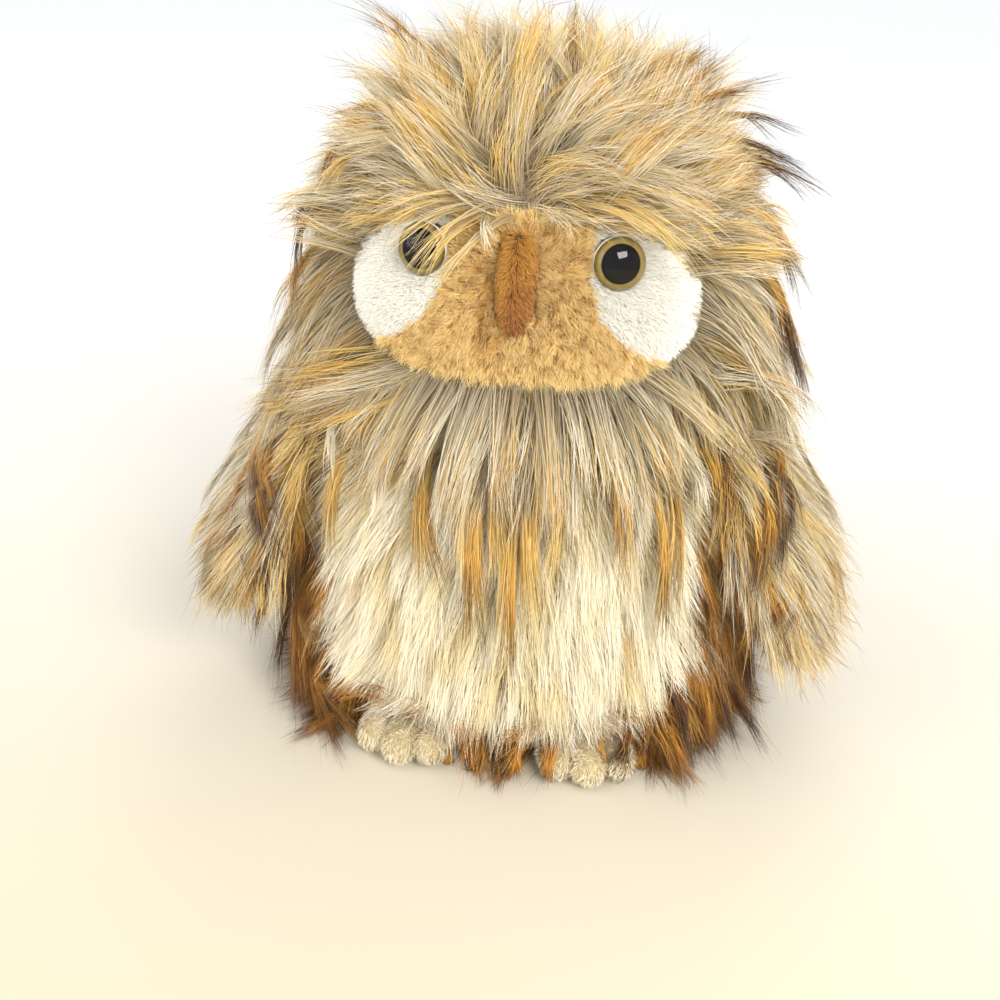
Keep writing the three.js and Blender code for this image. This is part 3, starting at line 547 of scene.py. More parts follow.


# Knitted polyester behind the pile, coloured like the pile's roots and mostly darker: painted shade, for the
# shadow deep among the roots that shows between the hairs
taupe_backing = knitted("knitted_polyester_taupe_painted_shade", "#6f624b", "#8f8066")
brown_backing = knitted("knitted_polyester_brown_painted_shade", "#33230f", "#4e3920")
cream_backing = knitted("knitted_polyester_cream", "#c2b083", "#ddcda2")
white_backing = knitted("knitted_polyester_white", "#faf6ec", "#fffdf8")
honey_backing = knitted("knitted_polyester_honey", "#c08f4a", "#dcb06a")
chestnut_backing = knitted("knitted_polyester_chestnut_painted_shade", "#4d2912", "#74421f")
oatmeal_backing = knitted("knitted_polyester_oatmeal", "#c4b48a", "#e0d2aa")
# Plain woven cotton under the toy and round the pellets
base_cotton = knitted("woven_cotton_umber", "#4a3018", "#6d4a29", 0.8)
bag_cotton = knitted("woven_cotton_unbleached", "#cfc6b0", "#e8e1cf", 0.8)
# Loose polyester fibre, matted where it is packed
polyester_fill = knitted("carded_polyester_fill", "#d9d7cf", "#f6f5f0", FIBRE_MM)


def paint_iris():
    """Enamel on the back of the eye: olive gold with fine rays. It turns darker and browner at its rim:
    painted shadow of the plush round the eye.
    """
    made, tree, shader = material("enamel_olive_gold", Roughness=0.5, Specular_IOR_Level=0.0)
    place = node(tree, "ShaderNodeUVMap", {"uv_map": "disc"}).outputs["UV"]
    far = node(tree, "ShaderNodeSeparateXYZ", Vector=place).outputs["Y"]
    # The darker, browner rim is painted shadow of the plush round the eye
    colour = ramp(tree, far, [(0, "#6b5320"), (0.62, "#6f5e2c"), (0.72, "#a8935a"), (0.86, "#8b7842"),
                              (1, "#66562c")])
    streak(tree, shader, place, (90, 2, 1), colour, 2.0, To_Min=0.8, To_Max=1.15)
    return made


def speckled(name, dark, light, grain_mm, **settings):
    """Paint or moulded plastic: nearly even colour with a faint flow pattern and a fine skin."""
    made, tree, shader = material(name, **settings)
    place = node(tree, "ShaderNodeTexCoord").outputs["Object"]
    flow = node(tree, "ShaderNodeTexNoise", Vector=place, Scale=1 / (grain_mm * MM), Detail=3.0)
    shade = ramp(tree, flow.outputs["Fac"], [(0.35, dark), (0.65, light)])
    tree.links.new(shade, shader.inputs["Base Color"])
    skin = node(tree, "ShaderNodeTexNoise", Vector=place, Scale=8 / (grain_mm * MM), Detail=2.0)
    roughen(tree, shader, skin.outputs["Fac"], 0.05, 0.02 * MM)
    return made


# Cast acrylic of the domes: water clear, with sharp reflections. Its IOR is below acrylic's 1.49, so that
# the thin dome doesn't swell the iris behind it more than a filled eye does
acrylic = material("cast_acrylic_clear", Base_Color=linear("#fffdf6"), Roughness=0.0, IOR=1.36,
                   Transmission_Weight=1.0)[0]
iris_paint = paint_iris()
# Black enamel of the pupil, under the acrylic
pupil_paint = speckled("enamel_black", "#040303", "#090705", 3.0, Roughness=0.5, Specular_IOR_Level=0.0)
# Moulded polyethylene of the washers and posts
polyethylene = speckled("moulded_polyethylene", "#dcdcd4", "#ecebe4", 4.0, Roughness=0.45)


# Meshes


def placed(name, data):
    """A new object in the scene."""
    made = bpy.data.objects.new(name, data)
    bpy.context.scene.collection.objects.link(made)
    return made


def mesh_object(name, points, faces, finish):
    """A smooth-shaded mesh object of quads or mixed faces."""
    made = bpy.data.meshes.new(name)
    made.from_pydata([tuple(p) for p in points], [], [tuple(f) for f in faces])
    made.polygons.foreach_set("use_smooth", [True] * len(made.polygons))
    made.materials.append(finish)
    made.validate()
    return placed(name, made)


def merge_close(piece, within=0.02 * MM, close=False):
    """Joins points that fall together, as at the poles of a round form, and closes what is open if asked."""
    build = bmesh.new()
    build.from_mesh(piece.data)
    bmesh.ops.remove_doubles(build, verts=build.verts, dist=within)
    if close:
        bmesh.ops.holes_fill(build, edges=[edge for edge in build.edges if edge.is_boundary])
        bmesh.ops.recalc_face_normals(build, faces=build.faces)
    build.to_mesh(piece.data)
    build.free()


BACKING = 0.8 * MM  # the cloth that the pile is rooted in


def settle(piece, carrier, node_name):
    """Rides on a body where the carrier names one, or else stays fixed where it is, and hides the solid that
    it takes the place of.
    """
    if isinstance(carrier, str):
        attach(piece, carrier)
    else:
        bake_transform(piece)
    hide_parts(node_name)
    return piece


def shell(name, form, finish, carrier, slot, node_name, chosen=None, around=160, rows=110, thick=BACKING,
          shift=None, place=None):
    """A sheet of cloth over the part of a form that is chosen, with a real thickness, or a closed body
    where thick is zero."""
    points, quads = form.skin(around, rows)
    if chosen is not None:
        quads = quads[chosen(points)[quads].all(1)]
    if shift is not None:
        points = points + form.lift(points)[1] * shift(points)[:, None]
    if place is not None:
        points = place(points)
    used, corners = np.unique(quads, return_inverse=True)
    piece = mesh_object(name, points[used], corners.reshape(-1, 4), finish)
    merge_close(piece, close=not thick)
    if thick:
        solid = piece.modifiers.new("thickness", "SOLIDIFY")
        solid.thickness, solid.offset = thick, -1
    return settle(piece, carrier, node_name)


# Camera, light and floor come first, because everything else is judged through them
TARGET = Vector((0, 0, 120 * MM))
CAMERA_AZIMUTH, CAMERA_ELEVATION, CAMERA_ROLL = math.radians(6), math.radians(25), math.radians(2.6)
CAMERA_DISTANCE = 500 * MM
SENSOR_MM, LENS_MM = 36, 41.4
AIM_PIXEL = (532, 411)  # where the target lies in the 1000 x 1000 picture
PICTURE = 1000
FLOOR, PALE_AT = 9, 1.6  # metres from the toy: the floor's edge, and where its paper is white


def add_camera():
    camera = placed("camera", bpy.data.cameras.new("camera"))
    back = Vector((math.sin(CAMERA_AZIMUTH) * math.cos(CAMERA_ELEVATION),
                   -math.cos(CAMERA_AZIMUTH) * math.cos(CAMERA_ELEVATION),
                   math.sin(CAMERA_ELEVATION)))
    camera.location = TARGET + back * CAMERA_DISTANCE
    facing = (-back).to_track_quat("-Z", "Y").to_matrix().to_4x4()
    camera.rotation_mode = "QUATERNION"
    camera.rotation_quaternion = (facing @ Matrix.Rotation(CAMERA_ROLL, 4, "Z")).to_quaternion()
    camera.data.sensor_width, camera.data.lens = SENSOR_MM, LENS_MM
    camera.data.shift_x = 0.5 - AIM_PIXEL[0] / PICTURE
    camera.data.shift_y = AIM_PIXEL[1] / PICTURE - 0.5
    camera.data.clip_start, camera.data.clip_end = 10 * MM, 50
    bpy.context.scene.camera = camera


def add_light(name, place, size, watts, code):
    lamp = bpy.data.lights.new(name, "AREA")
    lamp.shape, lamp.size, lamp.size_y = "RECTANGLE", size[0], size[1]
    lamp.energy, lamp.color = watts, linear(code)[:3]
    shown = placed(name, lamp)
    shown.location = place
    shown.rotation_mode = "QUATERNION"
    shown.rotation_quaternion = (TARGET - Vector(place)).to_track_quat("-Z", "Y")


def add_studio():
    """A high-key studio: a pale floor, a bright pale surround and large soft windows of light."""
    scene = bpy.context.scene
    scene.view_settings.view_transform = "Standard"
    world = bpy.data.worlds.new("studio")
    scene.world = world
    world.use_nodes = True
    surround = world.node_tree.nodes["Background"]
    surround.inputs["Color"].default_value = linear("#fbfdfe")
    surround.inputs["Strength"].default_value = 1.0
    add_light("window", (0.55, -0.75, 0.75), size=(0.5, 0.35), watts=10.5, code="#fffaf0")
    add_light("fill", (-0.9, -0.5, 0.6), size=(0.8, 0.8), watts=5, code="#fff6ea")
    add_light("rim", (0.1, 0.9, 0.9), size=(1.0, 0.6), watts=5, code="#ffffff")
    paper, tree, shader = material("floor_paper_painted_shade", Roughness=0.9, Specular_IOR_Level=0.1)
    place = node(tree, "ShaderNodeSeparateXYZ", Vector=node(tree, "ShaderNodeTexCoord").outputs["Object"])
    depth = node(tree, "ShaderNodeMapRange", Value=place.outputs["Y"], From_Min=-PALE_AT, From_Max=PALE_AT)
    fibres = node(tree, "ShaderNodeTexNoise", Scale=9.0, Detail=3.0)
    mixed = node(tree, "ShaderNodeMath", {"operation": "MULTIPLY_ADD"}, n0=fibres.outputs["Fac"], n1=0.018,
                 n2=depth.outputs[0])
    # The paper is darker and warmer near the toy, where the lamps light it most, and white far off, where
    # only the surround lights it: painted shade that evens the lamps' light over the floor
    shade = ramp(tree, mixed.outputs[0], [
        (0, "#ffffff"), (0.22, "#f0eee8"), (0.35, "#d9d2bf"), (0.42, "#cdc4aa"),
        (0.51, "#d3cdc2"), (0.62, "#e4e1dd"), (0.76, "#f0f0f0"), (1, "#ffffff")])
    tree.links.new(shade, shader.inputs["Base Color"])
    corners = [(x, y, 0) for x, y in ((-FLOOR, -FLOOR), (FLOOR, -FLOOR), (FLOOR, FLOOR), (-FLOOR, FLOOR))]
    mesh_object("floor", corners, [(0, 1, 2, 3)], paper)


add_camera()
add_studio()
# How near and how far along a line of sight the forms are looked for, as shares of the camera's distance,
# and in how many steps
SIGHT = 0.55, 1.45, 600


def seen_at(pixels, forms, height):
    """Points at a height over the forms that the camera sees at these pixels, or the nearest where it sees
    past them."""
    camera = bpy.context.scene.camera
    turn = np.array(camera.rotation_quaternion.to_matrix())
    share = np.asarray(pixels, float) / PICTURE
    right, up = share[:, 0] - 0.5 + camera.data.shift_x, 0.5 - share[:, 1] + camera.data.shift_y
    ray = unit(np.stack([right, up, np.full(len(share), -LENS_MM / SENSOR_MM)], -1) @ turn.T)
    far = np.linspace(*SIGHT) * CAMERA_DISTANCE
    points = np.array(camera.location) + ray[:, None] * far[None, :, None]
    flat = points.reshape(-1, 3)
    gap = np.min([form.lift(flat)[0] for form in forms], 0).reshape(len(share), -1) - height
    first = np.where((gap < 0).any(1), (gap < 0).argmax(1), gap.argmin(1))
    return points[np.arange(len(share)), first]


# Pile


def drift(points, scale, seed, waves=5):
    """A smooth random value from about -1 to 1 at each point, that changes over about the scale."""
    source = np.random.default_rng(seed)
    total = 0
    for _ in range(waves):
        wave = unit(source.normal(size=3)) * source.uniform(0.7, 1.4) / scale
        total = total + np.sin(points @ wave * 2 * math.pi + source.uniform(0, 2 * math.pi))
    return total / 3


def turned_in_surface(vectors, normals, angles):
    """Vectors in the surface, turned about its normals."""
    return vectors * np.cos(angles)[:, None] + np.cross(normals, vectors) * np.sin(angles)[:, None]


ROOM = np.array([0.03 * (b - a) + 9 * MM for a, b in zip(cad_low, cad_high)])
ROOM_LOW, ROOM_HIGH = np.array(cad_low) - ROOM, np.array(cad_high) + ROOM
FLOOR_CLEAR = 0.6 * MM
SOFT_EDGE = 6 * MM
STIFFNESS = 0.35  # how much of its heading a lock keeps where the forms under it turn it


def inside_room(points):
    """Points eased back towards the room that loose hair may take, and kept off the floor."""
    over = np.maximum(points - (ROOM_HIGH - SOFT_EDGE), 0)
    under = np.maximum((ROOM_LOW + SOFT_EDGE) - points, 0)
    points = (points - over + SOFT_EDGE * np.tanh(over / SOFT_EDGE)
              + under - SOFT_EDGE * np.tanh(under / SOFT_EDGE))
    points[..., 2] = np.maximum(points[..., 2], FLOOR_CLEAR)
    return points


def lay(roots, out, comb, length, lift, loft, droop, pull, around, curl=0.0, steps=10):
    """The lines that locks follow: out of the cloth at their lift, along the comb, down under their weight,
    turning sideways by their curl in all, and off the forms around them by their loft. droop and pull are
    how strongly they turn downwards and back to the comb, for each metre of their length."""
    step = (length / steps)[:, None]
    droop, pull, turn = (np.broadcast_to(value, (len(roots),)) for value in (droop, pull, curl / steps))
    heading = unit(out * np.sin(lift)[:, None] + comb * np.cos(lift)[:, None])
    line = [roots]
    for i in range(1, steps + 1):
        share = i / steps
        heading = unit(heading + step * (droop[:, None] * DOWN + pull[:, None] * comb))
        comb, heading = turned_in_surface(comb, out, turn), unit(turned_in_surface(heading, out, turn))
        ahead = line[-1] + heading * step
        wanted = loft * min(1, share * 1.8) ** 0.8
        for form in around:
            height, away = form.lift(ahead)
            ahead = ahead + away * np.maximum(wanted - height, 0)[:, None]
        ahead[:, 2] = np.maximum(ahead[:, 2], FLOOR_CLEAR * (1 + 3 * share))
        heading = unit(STIFFNESS * heading + (1 - STIFFNESS) * unit(ahead - line[-1]))
        line.append(ahead)
    return np.stack(line, 1)


def along_line(lines, shares):
    """Points at shares of each line, past its end too. lines is (n, steps + 1, 3) and shares (n, m)."""
    steps = lines.shape[1] - 1
    place = shares * steps
    low = np.clip(place.astype(int), 0, steps - 1)
    part = (place - low)[..., None]
    rows = np.arange(len(lines))[:, None]
    return lines[rows, low] * (1 - part) + lines[rows, low + 1] * part


DYE_EDGE, HALF_STRIP = 0.004, 0.0015  # in the strand map: how far in dyes stay, and half a hair's width


def hair_mesh(name, lines, facing, width, dye, finish):
    """One mesh of ribbons, widest at a third of their length and pointed. lines is (hairs, points, 3)."""
    hairs, count, _ = lines.shape
    run = unit(np.gradient(lines, axis=1))
    share = np.linspace(0, 1, count)
    half = width[:, None] / 2 * (0.8 + 0.4 * share - 1.05 * share ** 3)[None, :]
    side = unit(np.cross(run, facing[:, None, :])) * half[..., None]
    points = np.stack([lines - side, lines + side], 2).reshape(-1, 3)
    first = (np.arange(hairs)[:, None] * count + np.arange(count - 1)[None, :]) * 2
    quads = np.stack([first, first + 1, first + 3, first + 2], -1).reshape(-1, 4)
    made = bpy.data.meshes.new(name)
    made.vertices.add(len(points))
    made.vertices.foreach_set("co", points.astype(np.float32).ravel())
    made.loops.add(quads.size)
    made.loops.foreach_set("vertex_index", quads.astype(np.int32).ravel())
    made.polygons.add(len(quads))
    made.polygons.foreach_set("loop_start", np.arange(0, quads.size, 4, dtype=np.int32))
    made.polygons.foreach_set("use_smooth", np.ones(len(quads), bool))
    made.update(calc_edges=True)
    u = np.clip(dye, DYE_EDGE, 1 - DYE_EDGE)[:, None] + np.array([-HALF_STRIP, HALF_STRIP])
    strip = np.empty((hairs, count, 2, 2), np.float32)
    strip[..., 0] = u[:, None, :]
    strip[..., 1] = np.clip(share, 0.01, 0.99)[None, :, None]
    for layer in ("strand", "OFBake"):
        made.uv_layers.new(name=layer).data.foreach_set("uv", strip.reshape(-1, 2)[quads.ravel()].ravel())
    made.materials.append(finish)
    return placed(name, made)


HAIR = 0.26 * MM  # drawn several times as thick as the real fibre, which the picture can't show


def disc(rows):
    """Random places in a flat disc of radius one."""
    turn, far = rng.uniform(0, 2 * math.pi, rows), np.sqrt(rng.random(rows))
    return np.stack([far * np.cos(turn), far * np.sin(turn), rng.uniform(-0.25, 0.25, rows)], -1)


def spread(lines, out, dye, hairs, radius, guard=None, guard_share=0.0, width=HAIR, dye_spread=0.05,
           tight=0.7, bunch=0.4, frizz=1.4 * MM, shortest=0.55, strays=0.012, points=6, bunches=5):
    """The hairs of locks: each lock is a few bunches that draw together towards their tips. Guard hairs are
    longer than the undercoat and have a dye of their own. hairs is how many are in a lock, radius the lock's,
    tight and bunch how much its hairs and its bunches draw together, strays the share that goes astray."""
    locks = len(lines)
    lock = np.repeat(np.arange(locks), hairs)
    total = len(lock)
    comb = unit(along_line(lines, np.full((locks, 1), 0.5))[:, 0] - lines[:, 0])
    wide = unit(np.cross(comb, out))
    long = np.cross(out, wide)
    middles = disc(locks * bunches) * 0.75
    picked = lock * bunches + rng.integers(0, bunches, total)
    centre = middles[picked]
    own = np.clip(centre + disc(total) * 0.6, -1.2, 1.2)
    reach = rng.uniform(shortest, 1.0, total) * rng.uniform(0.85, 1.0, locks * bunches)[picked]
    stray = rng.random(total) < strays
    reach = np.where(stray, rng.uniform(0.9, 1.12, total), reach)
    guarding = rng.random(total) < np.broadcast_to(guard_share, (locks,))[lock]
    reach = np.where(guarding, rng.uniform(0.8, 1.05, total), reach)
    share = np.linspace(0, 1, points)
    path = along_line(lines[lock], share[None, :] * reach[:, None])

    def laid(offset):
        ways = wide[lock] * offset[:, :1] + long[lock] * offset[:, 1:2] + out[lock] * offset[:, 2:]
        return ways * radius

    drawn = share[None, :, None]
    loose = laid(own - centre)[:, None, :] * (1 - tight * drawn ** 0.8)
    path = path + laid(centre)[:, None, :] * (1 - bunch * drawn ** 0.7) + loose
    sway = rng.normal(0, 1, (total, 3)) * np.where(stray, 3.0, 1.0)[:, None] * frizz
    sway = sway + (rng.normal(0, 1.8, (locks * bunches, 3)) * frizz)[picked]
    curl = rng.normal(0, 1, (total, 3)) * frizz * 0.4
    phase = rng.uniform(0, 2 * math.pi, total)[:, None, None]
    path = path + sway[:, None, :] * drawn ** 2 + curl[:, None, :] * np.sin(phase + drawn * 7.0) * drawn
    facing = unit(out[lock] + rng.normal(0, 0.45, (total, 3)))
    tone = dye[lock] + rng.normal(0, dye_spread, total)
    if guard is not None:
        tips = np.broadcast_to(guard, (locks,))[lock] + rng.normal(0, 0.03, total)
        tone = np.where(guarding, tips, tone)
    tone = np.where(stray, rng.uniform(0.82, 0.99, total), tone)
    hair_width = width * rng.uniform(0.75, 1.2, total) * np.where(stray, 0.7, 1.0)
    return path, facing, hair_width, tone


def joined(hairs):
    """Several sets of hair as one. A set is its paths, the ways its ribbons face, their widths and dyes."""
    return tuple(np.concatenate(parts) for parts in zip(*hairs))


def only(hair, rows):
    return tuple(part[rows] for part in hair)


def off_forms(path, around, clear):
    """Hair pushed out of the forms that it lies over."""
    flat = path.reshape(-1, 3)
    for form in around:
        height, away = form.lift(flat)
        flat = flat + away * np.maximum(clear - height, 0)[:, None]
    return flat.reshape(path.shape)


MOST_TRIANGLES = 190000  # in one mesh
HAIR_CLEAR = 0.6 * MM  # of the forms that it lies over


def grow_fur(name, carrier, finish, hair, node_name, around=()):
    """Meshes of hair, none with too many triangles, that ride on a body where the carrier names one, or else
    stay fixed where they are.
    """
    path, facing, width, tone = hair
    path = inside_room(off_forms(path, around, HAIR_CLEAR))
    most = MOST_TRIANGLES // (2 * (path.shape[1] - 1))
    parts = max(1, math.ceil(len(path) / most))
    order = np.argsort(path[:, 0, 2], kind="stable")[::-1]
    for number, rows in enumerate(np.array_split(order, parts)):
        part_name = name if parts == 1 else f"{name}_{number + 1}"
        made = hair_mesh(part_name, path[rows], facing[rows], width[rows], tone[rows], finish)
        settle(made, carrier, node_name)


def dyes(shares, families, roots, seed, patch=16 * MM, mixing=0.45):
    """A dye for each lock: families are the edges of the families and shares how common each is,
    (n, families). Locks that stand together, in a patch, mostly share a family; mixing is how often not."""
    shares = shares / shares.sum(1, keepdims=True)
    order = drift(roots, patch, seed) + rng.normal(0, mixing, len(roots))
    even = (np.argsort(np.argsort(order)) + 0.5) / len(roots)
    pick = (np.cumsum(shares, 1) < even[:, None]).sum(1)
    low, high = np.array(families)[:-1], np.array(families)[1:]
    return low[pick] + (high - low)[pick] * rng.uniform(0.2, 0.8, len(roots))


TAUPE_DYES = [0.0, 0.18, 0.38, 0.64, 0.88, 1.0]
BROWN_DYES = [0.0, 0.26, 0.6, 0.88, 1.0]
CREAM_DYES = [0.0, 0.5, 0.86, 1.0]

# How many locks cover each form, before those under its neighbours are left out
HEAD_LOCKS, BODY_LOCKS, WING_LOCKS = 2900, 2700, 560
# How many short hairs
BEAK_HAIRS, TOE_HAIRS, FACE_HAIRS_PER_MM2 = 14000, 2600, 14

WING_CLOTH = 6 * MM, 6.5 * MM  # how far in from the pile's outside the cloth is, and half its thickness
WING_FILLING = 8 * MM, 4.5 * MM
wings = {side: wing_form(side, *WING_CLOTH) for side in SIDES}
wing_coats = {side: wing_form(side, 0, WING_HALF_THICKNESS) for side in SIDES}
feet = [pod for side in SIDES for pod in foot_pods(side, 0)]


def mix_of(*terms):
    """Shares for each lock from pairs of (weight for each lock, shares of the families)."""
    return sum(np.asarray(weight)[:, None] * np.array(shares) for weight, shares in terms)


def bowed(root, crest, tip, steps=10):
    t = np.linspace(0, 1, steps + 1)[None, :, None]
    return root[:, None] * (1 - t) ** 2 + crest[:, None] * 2 * t * (1 - t) + tip[:, None] * t ** 2


def picked_locks(rows, forms, hairs, ride, bow, radius=4 * MM, droop=0.0):
    """Locks set one by one where the photograph has them, which ride over the pile at a height.
    rows are root x, y, tip x, y in the picture, and dye."""
    rows = np.array(rows, float)
    root, tip = seen_at(rows[:, :2], forms, 0), seen_at(rows[:, 2:4], forms, ride)
    lifts = [form.lift(root) for form in forms]
    nearest = np.argmin([np.abs(height) for height, _ in lifts], 0)
    out = np.stack([way for _, way in lifts])[nearest, np.arange(len(rows))]
    rise = np.linalg.norm(tip - root, axis=1, keepdims=True) * bow
    lines = bowed(root, (root + tip) / 2 + out * rise - DOWN * rise * droop, tip)
    for i in range(lines.shape[1]):
        lines[:, i] = off_forms(lines[:, i], forms, ride * min(1, i / 4))
    for _ in range(3):
        lines[:, 1:-1] = (lines[:, :-2] + lines[:, 1:-1] * 2 + lines[:, 2:]) / 4
    return spread(lines, out, rows[:, 4], hairs, radius, width=1.2 * HAIR, dye_spread=0.035, tight=0.9,
                  bunch=0.85, frizz=1.3 * MM, shortest=0.74, strays=0.04, bunches=3)


def filled_lock(root, crest, tip, out, half_width, half_thickness, count):
    """Lines of the small locks that together make one main lock, and the way out of the fur for each."""
    place = disc(count)
    side = unit(np.cross(tip - root, out))
    spot = side * place[:, :1] * half_width + out * place[:, 1:2] * half_thickness
    lines = bowed(root + spot, crest + spot, tip + spot * 0.3)
    reach = rng.uniform(0.72, 1.0, (count, 1)) * np.linspace(0, 1, lines.shape[1])[None, :]
    return along_line(lines, reach), np.tile(out, (count, 1))


def crown_locks(count=11):
    """The main locks of the crown, which lie away from the parting on the brow."""
    outer = head_form(0)
    parting = np.array([0, face_at(0, PARTING_LIFT, 0), PARTING_LIFT])
    half_size = np.array([HEAD_HALF_WIDTH, 0, HEAD_HEIGHT / 2])
    made = []
    for share, start, reaches in crown_row_shares:
        for i, reach_share in enumerate(reaches):
            turn = math.pi * (start + (1 - start) * (i + 0.5) / len(reaches) - 0.5)
            reach = reach_share * CROWN_LOCK_REACH
            for mirror in (1, -1):
                at = outer.at(turn, share)
                half_size[1] = HEAD_FRONT if at[1] < 0 else HEAD_BACK
                away = unit(at / half_size ** 2)
                along = unit(across(at - parting, away))
                lean, run = np.array(crown_lean_shares) * reach
                path = [at - away * (LONG_PILE - CLOTH) - along * LOCK_ROOT,
                        at + away * lean + along * LOCK_ROOT, at + away * lean + along * run]
                turned_path = [outer.world(point * [mirror, 1, 1]) for point in path]
                turned_path[2] = turned_path[2] + DOWN * 11 * MM * ease(50 * MM, 88 * MM, abs(at[0]))
                way = outer.frame[:3, :3] @ (away * [mirror, 1, 1])
                made.append(filled_lock(*turned_path, way, CROWN_LOCK_HALF_WIDTH, CROWN_LOCK_HALF_THICKNESS,
                                        count))
    return joined(made)


def ruff_locks(count=5):
    """The main locks of the ruff, which fall over the top of the belly."""
    outer = head_form(0)
    over_body = Form(body_shares, 0, BODY_HEIGHT, BODY_HALF_WIDTH + RUFF_LOCK_STAND,
                     BODY_FRONT + RUFF_LOCK_STAND, BODY_BACK + RUFF_LOCK_STAND, BODY_CORNER_SHARE)
    made = []
    for i, tip_share in enumerate(ruff_tip_shares):
        turn = -math.pi / 2 + RUFF_LOCK_SPAN * (i / (len(ruff_tip_shares) - 1) - 0.5)
        tip = over_body.at(turn, tip_share)
        way = unit(tip * [1, 1, 0])
        root = outer.world(outer.at(turn, ruff_root_share)) - way * (LONG_PILE - CLOTH)
        crest = (root + tip) / 2 + way * ruff_bow_share * (root[2] - tip[2])
        made.append(filled_lock(root, crest, tip, way, LOCK_HALF_WIDTH, LOCK_HALF_THICKNESS, count))
    return joined(made)


def wing_locks(side, count=7):
    """The main locks that hang past the lower edge of a wing."""
    axes = np.array(wing_frame(side))
    heights, widths = smooth_line(wing_shares)
    lower = heights < 0.5
    made = []
    for i, reach_share in enumerate(wing_lock_shares):
        turn = math.pi * ((i + 0.5) / len(wing_lock_shares) - 0.5)
        edge = math.sin(turn) * WING_HALF_WIDTH * wing_lock_span_share
        length = 1 - np.interp(abs(edge) / WING_HALF_WIDTH, widths[lower], heights[lower])
        tip_z = -length * WING_LENGTH - WING_LOCK_REACH * reach_share
        path = [[0, edge * wing_lock_span_share, tip_z + WING_LOCK_LENGTH], [0, edge, tip_z]]
        root, tip = [axes[:3, :3] @ np.array(point) + axes[:3, 3] for point in path]
        made.append(filled_lock(root, (root + tip) / 2, tip, axes[:3, 0], LOCK_HALF_WIDTH,
                                LOCK_HALF_THICKNESS, count))
    return joined(made)


# Locks set singly, to match the photograph: root x, y, tip x, y in the picture, and dye
ruff_lock_pixels = [
    [377, 395, 296, 612, 0.66], [345, 385, 270, 520, 0.66], [400, 400, 332, 570, 0.64],
    [350, 400, 320, 560, 0.64], [440, 415, 440, 620, 0.66], [492, 425, 470, 660, 0.66],
    [520, 430, 510, 700, 0.64], [536, 430, 520, 650, 0.62], [566, 425, 545, 600, 0.62],
    [600, 420, 625, 590, 0.64], [625, 420, 650, 670, 0.66], [645, 410, 662, 640, 0.62],
    [672, 400, 715, 560, 0.64], [700, 395, 748, 545, 0.66], [722, 380, 770, 505, 0.7],
    [452, 410, 425, 580, 0.62], [480, 420, 458, 600, 0.4], [505, 415, 492, 600, 0.6],
    [610, 410, 640, 560, 0.1], [420, 405, 380, 530, 0.12], [560, 410, 580, 540, 0.12],
    [660, 400, 700, 520, 0.08], [470, 410, 440, 540, 0.1], [390, 390, 330, 490, 0.1],
]
crown_lock_pixels = [
    [470, 120, 385, 40, 0.6], [470, 100, 340, 2, 0.66], [430, 140, 330, 120, 0.58],
    [560, 110, 578, 2, 0.68], [600, 120, 700, 38, 0.62], [640, 130, 790, 84, 0.8],
    [665, 130, 848, 205, 0.9], [690, 160, 815, 180, 0.92], [410, 110, 398, 10, 0.66],
    [450, 100, 440, 25, 0.6], [660, 110, 740, 60, 0.66], [640, 100, 720, 45, 0.62],
    [380, 140, 318, 190, 0.7], [365, 170, 296, 262, 0.92], [700, 120, 806, 150, 0.92],
    [715, 150, 838, 215, 0.92], [735, 200, 812, 330, 0.92], [735, 240, 806, 440, 0.92],
    [725, 250, 800, 380, 0.76], [352, 190, 304, 300, 0.92], [700, 190, 805, 300, 0.68],
    [715, 210, 806, 432, 0.9], [700, 230, 796, 400, 0.7], [350, 230, 300, 330, 0.66],
    [520, 90, 500, 12, 0.56], [400, 160, 320, 215, 0.6],
]
brow_lock_pixels = [
    [505, 203, 394, 286, 0.4], [499, 199, 384, 262, 0.38], [494, 207, 410, 292, 0.44],
    [512, 212, 424, 300, 0.38], [486, 196, 372, 240, 0.4], [491, 222, 487, 250, 0.04],
    [560, 200, 688, 264, 0.42], [572, 190, 716, 290, 0.5], [584, 182, 735, 262, 0.58],
]
shoulder_lock_pixels = [
    [318, 322, 258, 420, 0.2], [312, 340, 232, 446, 0.1], [326, 360, 262, 470, 0.28],
    [310, 368, 212, 480, 0.22], [302, 300, 262, 392, 0.3], [745, 345, 802, 430, 0.2],
    [752, 366, 816, 470, 0.1], [738, 380, 792, 484, 0.28], [760, 320, 806, 400, 0.34],
]
flank_lock_pixels = [
    [305, 520, 300, 742, 0.46], [318, 600, 332, 770, 0.5], [306, 500, 290, 660, 0.34],
    [335, 650, 374, 772, 0.6], [300, 560, 270, 705, 0.74], [745, 430, 772, 600, 0.7],
    [738, 500, 770, 682, 0.62], [722, 560, 762, 742, 0.7], [694, 620, 742, 772, 0.66],
    [664, 650, 694, 776, 0.72], [642, 680, 640, 772, 0.62], [704, 640, 770, 768, 0.8],
    [352, 680, 352, 776, 0.74], [625, 690, 610, 775, 0.66], [310, 560, 318, 690, 0.28],
    [322, 610, 345, 735, 0.3], [314, 660, 340, 760, 0.32], [730, 470, 768, 620, 0.3],
    [712, 600, 755, 720, 0.28], [680, 640, 724, 765, 0.32], [660, 670, 672, 765, 0.3],
    [330, 560, 322, 660, 0.26], [336, 620, 352, 720, 0.28], [345, 660, 372, 745, 0.26],
    [380, 705, 362, 772, 0.3], [412, 712, 408, 772, 0.4], [446, 715, 456, 774, 0.3],
    [558, 718, 548, 776, 0.34], [590, 715, 600, 778, 0.28], [622, 708, 640, 774, 0.4],
    [520, 715, 515, 780, 0.4], [480, 715, 478, 776, 0.62], [300, 620, 296, 735, 0.34],
    [365, 700, 395, 765, 0.3], [650, 690, 690, 760, 0.26], [700, 590, 740, 690, 0.26],
]
